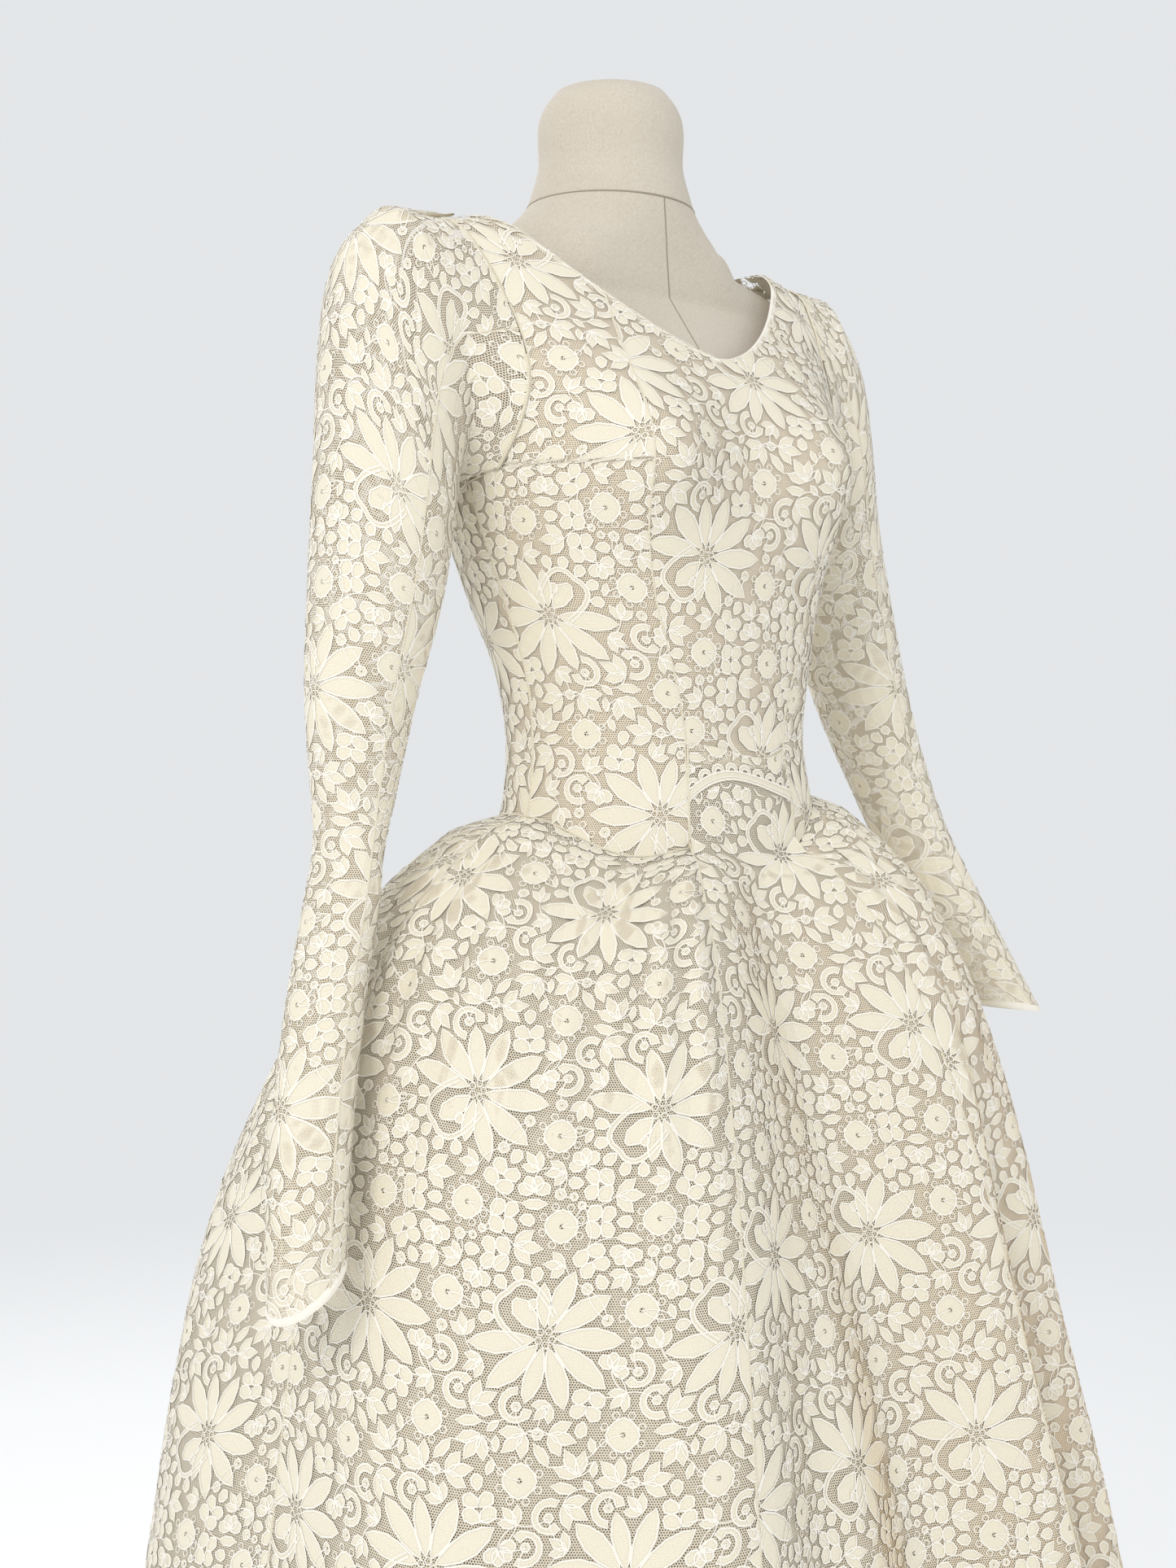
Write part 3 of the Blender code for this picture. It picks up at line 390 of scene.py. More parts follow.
class Chart:
    """Flat lace design in metres: points with a height over the cloth, triangles and their kind."""

    def __init__(self):
        self.points = []
        self.faces = []
        self.kinds = []

    def add(self, points, quads, kind):
        """Add quads over new points, as triangles, without those that have no area."""
        start = len(self.points)
        self.points.extend(points)
        for a, b, c, d in quads:
            for face in ((a, b, c), (a, c, d)):
                p, q, r = (points[k] for k in face)
                area = (q[0] - p[0]) * (r[1] - p[1]) - (q[1] - p[1]) * (r[0] - p[0])
                if abs(area) > 1e-10:
                    order = face if area > 0 else face[::-1]
                    self.faces.append(tuple(k + start for k in order))
                    self.kinds.append(kind)

    def cord(self, path, width=CORD_WIDTH, closed=False, lift=CORD_LIFT):
        """Raised thread along a flat path."""
        path = np.asarray(path, float)
        if closed:
            before, after = np.roll(path, 1, 0), np.roll(path, -1, 0)
        else:
            before, after = np.vstack([path[:1], path[:-1]]), np.vstack([path[1:], path[-1:]])
        tangent = after - before
        tangent /= np.maximum(np.linalg.norm(tangent, axis=1, keepdims=True), 1e-9)
        side = np.stack([-tangent[:, 1], tangent[:, 0]], -1) * width / 2
        count = len(path)
        points = [(*p, lift) for p in path - side] + [(*p, lift) for p in path + side]
        steps = count if closed else count - 1
        quads = [(i, (i + 1) % count, count + (i + 1) % count, count + i) for i in range(steps)]
        self.add(points, quads, 1)

    def strip(self, left, right):
        """Woven fill between two edges, with a cord round it."""
        left = np.asarray(left, float)
        right = np.asarray(right, float)
        count = len(left)
        points = [(*p, FILL_LIFT) for p in left] + [(*p, FILL_LIFT) for p in right]
        self.add(points, [(i, i + 1, count + i + 1, count + i) for i in range(count - 1)], 0)
        outline = np.vstack([left, right[::-1]])
        distinct = np.linalg.norm(outline - np.roll(outline, 1, 0), axis=1) > 1e-6
        self.cord(outline[distinct], closed=True)

    def petal(self, x, y, angle, length, width, bend=0.0, stations=PETAL_STATIONS):
        """Pointed leaf from its base; the angle is in degrees from +u towards +v."""
        along = np.array([math.cos(math.radians(angle)), math.sin(math.radians(angle))])
        across = np.array([-along[1], along[0]])
        left = []
        right = []
        for t, half in stations:
            middle = np.array([x, y]) + along * length * t + across * bend * t * t * length
            left.append(middle + across * half * width / 2)
            right.append(middle - across * half * width / 2)
        self.strip(left, right)

    def lobe(self, x, y, angle, size):
        """Short blunt lobe."""
        self.petal(x, y, angle, size, size * 0.82, stations=LOBE_STATIONS)

    def disc(self, x, y, radius, hole, sides):
        """Round woven spot with an open middle and a cord round it."""
        turn = np.arange(sides + 1) * 2 * math.pi / sides
        ring = np.stack([np.cos(turn), np.sin(turn)], -1)
        wobble = 1 + 0.05 * np.cos(4 * turn)[:, None]
        centre = np.array([x, y])
        outer = centre + ring * radius * wobble
        inner = centre + ring * hole
        points = [(*p, FILL_LIFT) for p in outer] + [(*p, FILL_LIFT) for p in inner]
        count = sides + 1
        self.add(points, [(i, i + 1, count + i + 1, count + i) for i in range(sides)], 0)
        self.cord(outer[:-1], closed=True)

    def loop(self, x, y, radius, sides=7):
        """Open ring of thread."""
        turn = np.arange(sides) * 2 * math.pi / sides
        self.cord(np.stack([x + radius * np.cos(turn), y + radius * np.sin(turn)], -1),
                  THIN_CORD, closed=True)

    def ribbon(self, start, pull, end, width, pieces=7):
        """Woven band along a curved stem."""
        t = np.linspace(0, 1, pieces + 1)[:, None]
        start, pull, end = (np.asarray(p, float) for p in (start, pull, end))
        path = start * (1 - t) ** 2 + pull * 2 * t * (1 - t) + end * t * t
        tangent = np.gradient(path, axis=0)
        tangent /= np.linalg.norm(tangent, axis=1, keepdims=True)
        side = np.stack([-tangent[:, 1], tangent[:, 0]], -1) * width / 2
        self.strip(path - side, path + side)

    def thread(self, start, pull, end):
        """Single curved thread between two motifs."""
        t = np.linspace(0, 1, 5)[:, None]
        start, pull, end = (np.asarray(p, float) for p in (start, pull, end))
        self.cord(start * (1 - t) ** 2 + pull * 2 * t * (1 - t) + end * t * t, THIN_CORD)

    def round_flower(self, x, y, radius=0.0098):
        """Full round flower with a square eye and a ring of open loops."""
        self.disc(x, y, radius, 0.0016, 12)
        for k in range(8):
            turn = 2 * math.pi * (k + 0.5) / 8
            reach = radius + 0.0026
            self.loop(x + reach * math.cos(turn), y + reach * math.sin(turn), 0.0023, 6)

    def spray(self, x, y, angle, size=0.014, spread=42, count=3):
        """Leaves that open from one point."""
        for k in range(count):
            lean = (k - (count - 1) / 2) * spread
            self.petal(x, y, angle + lean, size * (1 - 0.15 * (lean != 0)), size * 0.42,
                       stations=LEAF_STATIONS)

    def fan(self, x, y, angle, size=0.008, count=5, spread=36):
        """Blunt lobes that open from one point."""
        for k in range(count):
            lean = (k - (count - 1) / 2) * spread
            reach = np.array([math.cos(math.radians(angle + lean)), math.sin(math.radians(angle + lean))])
            base = np.array([x, y]) + reach * size * 0.12
            self.lobe(base[0], base[1], angle + lean, size)

    def cluster(self, x, y, angle, pairs=3, size=0.0105):
        """Blunt lobes in pairs along a stem, with one at its end."""
        along = np.array([math.cos(math.radians(angle)), math.sin(math.radians(angle))])
        for k in range(pairs):
            base = np.array([x, y]) + along * size * 0.78 * k
            for lean in (-58, 58):
                self.lobe(base[0], base[1], angle + lean, size * (1 - 0.08 * k))
        tip = np.array([x, y]) + along * size * 0.78 * pairs
        self.lobe(tip[0], tip[1], angle, size * 0.8)

    def scroll(self, x, y, angle, radius=0.0095, turns=0.72, hand=1):
        """Curled stem round a small spot."""
        left = []
        right = []
        for k in range(11):
            t = k / 10
            turn = math.radians(angle) + hand * t * turns * 2 * math.pi
            out = radius * (1 - 0.25 * t)
            half = 0.0021 * (1 - 0.45 * t) if t < 0.9 else 0.0026
            reach = np.array([math.cos(turn), math.sin(turn)])
            left.append(np.array([x, y]) + reach * (out + half))
            right.append(np.array([x, y]) + reach * (out - half))
        self.strip(left, right)
        self.disc(x, y, 0.0028, 0.0006, 6)

    def rosette(self, x, y, radius=0.0034):
        """Small spot with an open eye."""
        self.disc(x, y, radius, 0.0009, 7)


def daisy(chart, x, y):
    """Large flower: nine petals, one of them small inside an arc with a fan, and open loops in the middle."""
    for angle, length, width in DAISY_PETALS:
        turn = math.radians(angle)
        base = np.array([x, y]) + 0.0062 * np.array([math.cos(turn), math.sin(turn)])
        chart.petal(base[0], base[1], angle, length, width, bend=0.05)
    for k in range(5):
        turn = math.radians(72 * k + 10)
        chart.loop(x + 0.0044 * math.cos(turn), y + 0.0044 * math.sin(turn), 0.0022, 6)
    turn = math.radians(DAISY_ARC)
    reach = np.array([math.cos(turn), math.sin(turn)])
    across = np.array([-reach[1], reach[0]])
    centre = np.array([x, y])
    chart.petal(*(centre + reach * 0.007), DAISY_ARC, 0.022, 0.0125, stations=LOBE_STATIONS)
    chart.lobe(*(centre + reach * 0.018 + across * 0.004), DAISY_ARC + 62, 0.0068)
    start = centre + reach * 0.006 + across * 0.013
    end = centre + reach * 0.006 - across * 0.013
    chart.ribbon(start, centre + reach * 0.040 + across * 0.021, centre + reach * 0.035, 0.0026)
    chart.ribbon(end, centre + reach * 0.040 - across * 0.021, centre + reach * 0.035, 0.0026)
    for k in range(5):
        lean = (k - 2) * 27
        turn = math.radians(DAISY_ARC + lean)
        place = centre + reach * 0.017 + 0.0205 * np.array([math.cos(turn), math.sin(turn)])
        chart.lobe(place[0], place[1], DAISY_ARC + lean, 0.0088)


def place_motif(chart, kind, x, y, angle, hand):
    """One small motif of the design."""
    if kind == "round_flower":
        chart.round_flower(x, y)
    elif kind == "scroll":
        chart.scroll(x, y, angle, hand=hand)
    elif kind == "cluster3":
        chart.cluster(x, y, angle, 2, 0.0112)
    elif kind == "spray":
        chart.spray(x, y, angle, 0.018)
    elif kind == "spray_small":
        chart.spray(x, y, angle, 0.0135)
    elif kind == "fan":
        chart.fan(x, y, angle, 0.0095, 4, 44)
    elif kind == "leaf":
        chart.petal(x, y, angle, 0.0165, 0.0066, 0.12 * hand, LEAF_STATIONS)
    elif kind == "bud":
        chart.petal(x, y, angle, 0.0095, 0.0046, 0.1 * hand, LEAF_STATIONS)
    else:
        chart.rosette(x, y, 0.0034 if kind == "rosette" else 0.0024)


def half_repeat(chart):
    """Everything of the design that belongs to one large flower, with threads between neighbours."""
    daisy(chart, 0.0, REPEAT_LENGTH / 4)
    places = []
    for kind, x, y, angle, hand in LAYOUT:
        place_motif(chart, kind, x / 1000, y / 1000, angle, hand)
        places.append((x / 1000, y / 1000))
    places = np.array(places)
    glide = places * np.array([1, -1]) + np.array([REPEAT_WIDTH / 2, REPEAT_LENGTH])
    images = [group + np.array([i * REPEAT_WIDTH, j * REPEAT_LENGTH])
              for group in (places, glide) for i in (-1, 0, 1) for j in (-1, 0, 1)]
    images = np.vstack(images)
    for place in places:
        reach = np.linalg.norm(images - place, axis=1)
        k = np.argsort(reach)[2]
        bow = (images[k] - place)[::-1] * np.array([-0.25, 0.25])
        chart.thread(place, (place + images[k]) / 2 + bow, images[k])


def make_repeat():
    """One whole repeat: the half with the flower at (0, 70) mm, and its glide reflection at (60, 210) mm."""
    chart = Chart()
    half_repeat(chart)
    points = np.array(chart.points)
    faces = np.array(chart.faces)
    kinds = np.array(chart.kinds)
    mirrored = points * np.array([1, -1, 1]) + np.array([REPEAT_WIDTH / 2, REPEAT_LENGTH, 0])
    both = np.vstack([points, mirrored])
    both_faces = np.vstack([faces, faces[:, ::-1] + len(points)])
    return both, both_faces, np.concatenate([kinds, kinds])


class Panel:
    """One cloth piece as rows of points: turns flat lace into points on the cloth."""

    def __init__(self, points, normals, limits=None):
        steps = np.linalg.norm(np.diff(points, axis=1), axis=-1)
        across = np.concatenate([np.zeros((len(points), 1)), np.cumsum(steps, 1)], 1)
        self.widths = across[:, -1]
        share = np.linspace(0, 1, points.shape[1])
        both = np.concatenate([points, normals], -1)
        self.table = np.empty_like(both)
        for i, line in enumerate(across):
            for axis in range(6):
                self.table[i, :, axis] = np.interp(share * line[-1], line, both[i, :, axis])
        falls = np.linalg.norm(np.diff(self.table[..., :3], axis=0), axis=-1).mean(1)
        self.down = np.concatenate([[0.0], np.cumsum(falls)])
        self.flat = np.stack([across - across[:, -1:] / 2,
                              np.broadcast_to(self.down[:, None], across.shape)], -1)
        self.limits = limits

    def look_up(self, u, v):
        """Point and normal at flat places, and which of them are on the cloth."""
        rows, columns = self.table.shape[:2]
        row = np.interp(v, self.down, np.arange(rows))
        i = np.minimum(np.floor(row).astype(int), rows - 2)
        t = (row - i)[:, None]
        width = self.widths[i] * (1 - t[:, 0]) + self.widths[i + 1] * t[:, 0]
        column = (u / width + 0.5) * (columns - 1)
        inside = (column > 0) & (column < columns - 1) & (v > 0) & (v < self.down[-1])
        column = np.clip(column, 0, columns - 1)
        j = np.minimum(np.floor(column).astype(int), columns - 2)
        s = (column - j)[:, None]
        top = self.table[i, j] * (1 - s) + self.table[i, j + 1] * s
        low = self.table[i + 1, j] * (1 - s) + self.table[i + 1, j + 1] * s
        value = top * (1 - t) + low * t
        normal = value[:, 3:] / np.linalg.norm(value[:, 3:], axis=1, keepdims=True)
        return value[:, :3], normal, inside

    def place(self, flat):
        """Points over the cloth for flat points with a height; those beyond an edge move onto it."""
        u, v, lift = flat.T
        points, normals, inside = self.look_up(u, v)
        if self.limits:
            for _ in range(3):
                low, top = self.limits(points)
                out = np.clip(points[:, 2], low, top) - points[:, 2]
                inside &= np.abs(out) < 1e-5
                v = v - out
                points, normals, _ = self.look_up(u, v)
        return points + normals * lift[:, None], inside


def new_mesh(name, points, faces, uv, materials, kinds=None, smooth=True):
    """Mesh object with flat coordinates in metres as its UV map, riding on the frame."""
    mesh = bpy.data.meshes.new(name)
    mesh.from_pydata([tuple(p) for p in points], [], [tuple(int(k) for k in face) for face in faces])
    for material in materials:
        mesh.materials.append(material)
    if uv is not None:
        layer = mesh.uv_layers.new(name="flat")
        index = np.empty(len(mesh.loops), dtype=np.int32)
        mesh.loops.foreach_get("vertex_index", index)
        layer.data.foreach_set("uv", np.asarray(uv, dtype=np.float32)[index].ravel())
    if kinds is not None:
        mesh.polygons.foreach_set("material_index", np.asarray(kinds, dtype=np.int32))
    if smooth:
        mesh.shade_smooth()
    mesh.update()
    item = bpy.data.objects.new(name, mesh)
    bpy.context.scene.collection.objects.link(item)
    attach(item, "root")
    return item


def grid_faces(rows, columns, closed=False):
    """Quads of a grid, also round its seam if it is closed."""
    faces = []
    for i in range(rows - 1):
        for j in range(columns if closed else columns - 1):
            k = (j + 1) % columns
            faces.append((i * columns + j, i * columns + k, (i + 1) * columns + k, (i + 1) * columns + j))
    return faces


def cloth_sheet(name, points, uv, material, node):
    """Sheet of cloth in the place of a CAD node, which it hides."""
    rows, columns = points.shape[:2]
    item = new_mesh(name, points.reshape(-1, 3), grid_faces(rows, columns), uv.reshape(-1, 2), [material])
    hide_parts(node)
    return item


def lay_lace(name, panel, shift, design, leaves_free=None):
    """Lace motifs of the design over a panel, cut off at its edges and where its border runs."""
    points, faces, kinds = design
    left = float(panel.flat[..., 0].min()) - 0.07
    right = float(panel.flat[..., 0].max()) + 0.07
    bottom = float(panel.down[-1])
    all_points = []
    all_flat = []
    all_faces = []
    all_kinds = []
    start = 0
    first = math.floor((left - shift) / REPEAT_WIDTH) - 1
    last = math.ceil((right - shift) / REPEAT_WIDTH) + 1
    for column in range(first, last):
        for row in range(-2, math.ceil(bottom / REPEAT_LENGTH) + 1):
            flat = points + np.array([column * REPEAT_WIDTH + shift, row * REPEAT_LENGTH, 0])
            placed, inside = panel.place(flat)
            kept = inside[faces].any(axis=1)
            if leaves_free is not None:
                kept &= ~leaves_free(flat)[faces].any(axis=1)
            if not kept.any():
                continue
            chosen = faces[kept]
            used, index = np.unique(chosen, return_inverse=True)
            all_points.append(placed[used])
            all_flat.append(flat[used, :2])
            all_faces.append(index.reshape(chosen.shape) + start)
            all_kinds.append(kinds[kept])
            start += len(used)
    vertices = np.vstack(all_points)
    triangles = np.vstack(all_faces)
    a, b, c = (vertices[triangles[:, k]] for k in range(3))
    solid = np.linalg.norm(np.cross(b - a, c - a), axis=1) > 2e-9
    item = new_mesh(name, vertices, triangles[solid], np.vstack(all_flat), [FILL, CORD],
                    np.concatenate(all_kinds)[solid], smooth=False)
    return item


def band(name, path, normals, width, height, material, sections=5, closed=False):
    """Raised band along a path, such as a hem, a folded edge or a seam."""
    path = np.asarray(path, float)
    normals = np.asarray(normals, float)
    tangent = np.roll(path, -1, 0) - np.roll(path, 1, 0) if closed else np.gradient(path, axis=0)
    side = np.cross(tangent, normals)
    side /= np.maximum(np.linalg.norm(side, axis=1, keepdims=True), 1e-9)
    rows = []
    flat = []
    run = np.concatenate([[0], np.cumsum(np.linalg.norm(np.diff(path, axis=0), axis=1))])
    for k in range(sections):
        t = -1 + 2 * k / (sections - 1)
        rows.append(path + side * width / 2 * t + normals * height * (1 - t * t) ** 0.5)
        flat.append(np.stack([run, np.full_like(run, width / 2 * t)], -1))
    points = np.stack(rows)
    item = new_mesh(name, points.reshape(-1, 3), grid_faces(sections, len(path), closed),
                    np.stack(flat).reshape(-1, 2), [material])
    return item


def link(tree, start, end):
    """Join two sockets."""
    tree.links.new(start, end)


def math_node(tree, operation, a, b=None):
    """Math node on numbers or sockets."""
    node = tree.nodes.new("ShaderNodeMath")
    node.operation = operation
    for index, value in enumerate((a, b)):
        if value is None:
            continue
        if isinstance(value, (int, float)):
            node.inputs[index].default_value = value
        else:
            link(tree, value, node.inputs[index])
    return node.outputs[0]


def start_material(name, colour, roughness, sheen=0.0, metallic=0.0, specular=0.5):
    """Principled material and its node tree."""
    material = bpy.data.materials.new(name)
    material.use_nodes = True
    shader = material.node_tree.nodes["Principled BSDF"]
    shader.inputs["Base Color"].default_value = (*colour, 1)
    shader.inputs["Roughness"].default_value = roughness
    shader.inputs["Sheen Weight"].default_value = sheen
    shader.inputs["Metallic"].default_value = metallic
    shader.inputs["Specular IOR Level"].default_value = specular
    return material, material.node_tree, shader


def flat_place(tree):
    """Flat cloth coordinates in metres, as two sockets and one vector socket."""
    node = tree.nodes.new("ShaderNodeUVMap")
    node.uv_map = "flat"
    split = tree.nodes.new("ShaderNodeSeparateXYZ")
    link(tree, node.outputs[0], split.inputs[0])
    return split.outputs[0], split.outputs[1], node.outputs[0]


def thread_wave(tree, value, period, bend=None):
    """Wave from 0 to 1 across threads of a given period in metres."""
    turned = math_node(tree, "MULTIPLY", value, 2 * math.pi / period)
    if bend is not None:
        turned = math_node(tree, "ADD", turned, bend)
    return math_node(tree, "ADD", math_node(tree, "MULTIPLY", math_node(tree, "SINE", turned), 0.5), 0.5)


def noise(tree, vector, scale, detail=3.0):
    """Noise texture value."""
    node = tree.nodes.new("ShaderNodeTexNoise")
    node.inputs["Scale"].default_value = scale
    node.inputs["Detail"].default_value = detail
    link(tree, vector, node.inputs["Vector"])
    return node.outputs[0]


def ramp_colour(tree, value, colours):
    """Colour ramp over a value."""
    node = tree.nodes.new("ShaderNodeValToRGB")
    node.color_ramp.elements[0].color = (*colours[0], 1)
    node.color_ramp.elements[1].color = (*colours[-1], 1)
    for k, colour in enumerate(colours[1:-1]):
        node.color_ramp.elements.new((k + 1) / (len(colours) - 1)).color = (*colour, 1)
    link(tree, value, node.inputs[0])
    return node.outputs[0]


def clamped(tree, value, low, slope):
    """Value less a lower bound, times a slope, held between 0 and 1."""
    risen = math_node(tree, "MULTIPLY", math_node(tree, "SUBTRACT", value, low), slope)
    return math_node(tree, "MAXIMUM", math_node(tree, "MINIMUM", risen, 1.0), 0.0)


def paint_fold_shade(tree, colour, share):
    """Colour with painted warm shade on the flanks of the big folds on the wearer's left: an ochre tint for
    light through the cream lining, multiplied where the surface faces +x, away from the key light.
    """
    coordinates = tree.nodes.new("ShaderNodeTexCoord")
    place = tree.nodes.new("ShaderNodeSeparateXYZ")
    facing = tree.nodes.new("ShaderNodeSeparateXYZ")
    link(tree, coordinates.outputs["Object"], place.inputs[0])
    link(tree, coordinates.outputs["Normal"], facing.inputs[0])
    # Where the painted shade falls: on the wearer's left, low, at the front, on flanks facing +x
    side = clamped(tree, place.outputs[0], -0.10, 9.0)
    low = math_node(tree, "SUBTRACT", 1.0, clamped(tree, place.outputs[2], 0.93, 9.0))
    flank = clamped(tree, facing.outputs[0], 0.12, 2.6)
    front = math_node(tree, "SUBTRACT", 1.0, clamped(tree, place.outputs[1], -0.24, 5.0))
    painted_shade_amount = math_node(tree, "MULTIPLY", math_node(tree, "MULTIPLY", side, low),
                       math_node(tree, "MULTIPLY", flank, front))
    mixed = tree.nodes.new("ShaderNodeMix")
    mixed.data_type = "RGBA"
    mixed.blend_type = "MULTIPLY"
    mixed.inputs[7].default_value = (*PAINTED_FOLD_SHADE, 1)
    link(tree, math_node(tree, "MULTIPLY", painted_shade_amount, share), mixed.inputs[0])
    link(tree, colour, mixed.inputs[6])
    return mixed.outputs[2]


def add_bump(tree, shader, height, strength, distance):
    """Bump from a height socket."""
    node = tree.nodes.new("ShaderNodeBump")
    node.inputs["Strength"].default_value = strength
    node.inputs["Distance"].default_value = distance
    link(tree, height, node.inputs["Height"])
    link(tree, node.outputs[0], shader.inputs["Normal"])


def lace_fill_material():
    """Woven fill of the motifs: fine close threads of uneven density."""
    material, tree, shader = start_material("lace_fill", FILL_COLOURS[1], 0.85, sheen=0.25, specular=0.25)
    u, v, place = flat_place(tree)
    cloudy = noise(tree, place, 900.0, 4.0)
    threads = thread_wave(tree, v, 0.0009, math_node(tree, "MULTIPLY", cloudy, 5.0))
    warp = thread_wave(tree, u, 0.0014)
    weave = math_node(tree, "ADD", math_node(tree, "MULTIPLY", threads, 0.6),
                      math_node(tree, "MULTIPLY", warp, 0.25))
    tone = math_node(tree, "ADD", math_node(tree, "MULTIPLY", weave, 0.55),
                     math_node(tree, "MULTIPLY", cloudy, 0.45))
    # Painted warm shade on the far fold flanks, at 0.45 strength
    colour = paint_fold_shade(tree, ramp_colour(tree, tone, FILL_COLOURS), 0.45)
    link(tree, colour, shader.inputs["Base Color"])
    add_bump(tree, shader, weave, 0.35, 0.0003)
    return material


def lace_cord_material():
    """Twisted outline thread."""
    material, tree, shader = start_material("lace_cord", CORD_COLOURS[1], 0.8, sheen=0.3, specular=0.3)
    u, v, place = flat_place(tree)
    twist = thread_wave(tree, math_node(tree, "ADD", u, v), 0.0011)
    tone = math_node(tree, "ADD", math_node(tree, "MULTIPLY", twist, 0.5),
                     math_node(tree, "MULTIPLY", noise(tree, place, 400.0), 0.5))
    # Painted warm shade on the far fold flanks, at 0.25 strength
    colour = paint_fold_shade(tree, ramp_colour(tree, tone, CORD_COLOURS), 0.25)
    link(tree, colour, shader.inputs["Base Color"])
    add_bump(tree, shader, twist, 0.4, 0.0003)
    return material


def seam_material():
    """Folded seam edge of the lace, a little darker than its outlines."""
    material, tree, shader = start_material("lace_seam", SEAM_COLOUR, 0.85, sheen=0.2, specular=0.25)
    u, v, place = flat_place(tree)
    stitch = thread_wave(tree, u, 0.0022)
    tone = math_node(tree, "ADD", math_node(tree, "MULTIPLY", stitch, 0.4),
                     math_node(tree, "MULTIPLY", noise(tree, place, 300.0), 0.6))
    link(tree, ramp_colour(tree, tone, (SEAM_COLOUR, FILL_COLOURS[1])), shader.inputs["Base Color"])
    add_bump(tree, shader, stitch, 0.5, 0.0004)
    return material


def hexagon_edge(tree, u, v, pitch):
    """Distance to the nearest edge of a honeycomb, 0 on an edge and 0.5 in the middle of a cell."""
    x = math_node(tree, "DIVIDE", u, pitch)
    y = math_node(tree, "DIVIDE", v, pitch)
    tall = 3 ** 0.5
    reaches = []
    for shift in (0.0, 0.5):
        px = math_node(tree, "SUBTRACT", math_node(
            tree, "FLOORED_MODULO", math_node(tree, "ADD", x, shift), 1.0), 0.5)
        py = math_node(tree, "SUBTRACT", math_node(
            tree, "FLOORED_MODULO", math_node(tree, "ADD", y, shift * tall), tall), tall / 2)
        ax = math_node(tree, "ABSOLUTE", px)
        ay = math_node(tree, "ABSOLUTE", py)
        slanted = math_node(tree, "ADD", math_node(tree, "MULTIPLY", ax, 0.5),
                            math_node(tree, "MULTIPLY", ay, tall / 2))
        reaches.append(math_node(tree, "MAXIMUM", ax, slanted))
    return math_node(tree, "SUBTRACT", 0.5, math_node(tree, "MINIMUM", reaches[0], reaches[1]))


def net_material(name, pitch, thread):
    """Hexagonal net whose holes let the lining or the wall behind show through."""
    material, tree, shader = start_material(name, NET_COLOUR, 0.8, sheen=0.2, specular=0.25)
    u, v, place = flat_place(tree)
    drift = math_node(tree, "MULTIPLY", noise(tree, place, 220.0), pitch * 0.5)
    edge = hexagon_edge(tree, math_node(tree, "ADD", u, drift), v, pitch)
    link(tree, math_node(tree, "LESS_THAN", edge, thread), shader.inputs["Alpha"])
    colour = ramp_colour(tree, noise(tree, place, 500.0), (NET_COLOUR, CORD_COLOURS[0]))
    # Painted warm shade on the far fold flanks, at 0.6 strength
    link(tree, paint_fold_shade(tree, colour, 0.6), shader.inputs["Base Color"])
    return material


def lining_material(name, colours, roughness, wrinkle):
    """Satin or taffeta: smooth close weave, soft wrinkles along its length, a tone that ramps with x, and
    painted warm shade in the far folds.
    """
    material, tree, shader = start_material(name, colours[1], roughness, sheen=0.15, specular=0.45)
    u, v, place = flat_place(tree)
    weave = thread_wave(tree, math_node(tree, "ADD", u, math_node(tree, "MULTIPLY", v, 0.35)), 0.0007)
    stretch = tree.nodes.new("ShaderNodeMapping")
    stretch.inputs["Scale"].default_value = (1.0, 0.35, 1.0)
    link(tree, place, stretch.inputs["Vector"])
    soft = noise(tree, stretch.outputs[0], wrinkle, 4.0)
    place_node = tree.nodes.new("ShaderNodeTexCoord")
    split = tree.nodes.new("ShaderNodeSeparateXYZ")
    link(tree, place_node.outputs["Object"], split.inputs[0])
    # Tone ramps with x towards the last colour on the wearer's left; for the taffeta this paints the warm
    # shade of the far folds
    side = math_node(tree, "MULTIPLY", math_node(tree, "SUBTRACT", split.outputs[0], -0.02), 5.0)
    tone = math_node(tree, "ADD", math_node(tree, "MULTIPLY", math_node(tree, "MINIMUM", side, 1.0), 0.6),
                     math_node(tree, "MULTIPLY", soft, 0.4))
    # Painted warm shade on the far fold flanks, at 0.7 strength
    link(tree, paint_fold_shade(tree, ramp_colour(tree, tone, colours), 0.7), shader.inputs["Base Color"])
    height = math_node(tree, "ADD", soft, math_node(tree, "MULTIPLY", weave, 0.02))
    add_bump(tree, shader, height, 0.5, 0.004)
    return material


def linen_material():
    """Plain linen cover of the form, with slubs and flecks."""
    material, tree, shader = start_material("form_linen_weave", LINEN_COLOURS[1], 0.95,
                                            sheen=0.15, specular=0.2)
    coordinates = tree.nodes.new("ShaderNodeTexCoord")
    split = tree.nodes.new("ShaderNodeSeparateXYZ")
    link(tree, coordinates.outputs["Object"], split.inputs[0])
    around = math_node(tree, "ADD", split.outputs[0], split.outputs[1])
    cloudy = noise(tree, coordinates.outputs["Object"], 600.0, 5.0)
    weft = thread_wave(tree, split.outputs[2], 0.0011, math_node(tree, "MULTIPLY", cloudy, 3.0))
    warp = thread_wave(tree, around, 0.0011, math_node(tree, "MULTIPLY", cloudy, 3.0))
    weave = math_node(tree, "ADD", math_node(tree, "MULTIPLY", weft, 0.5),
                      math_node(tree, "MULTIPLY", warp, 0.5))
    patches = noise(tree, coordinates.outputs["Object"], 9.0, 3.0)
    tone = math_node(tree, "ADD", math_node(tree, "MULTIPLY", weave, 0.06),
                     math_node(tree, "ADD", math_node(tree, "MULTIPLY", cloudy, 0.65),
                               math_node(tree, "MULTIPLY", patches, 0.35)))
    link(tree, ramp_colour(tree, tone, LINEN_COLOURS), shader.inputs["Base Color"])
    add_bump(tree, shader, cloudy, 0.35, 0.0006)
    return material


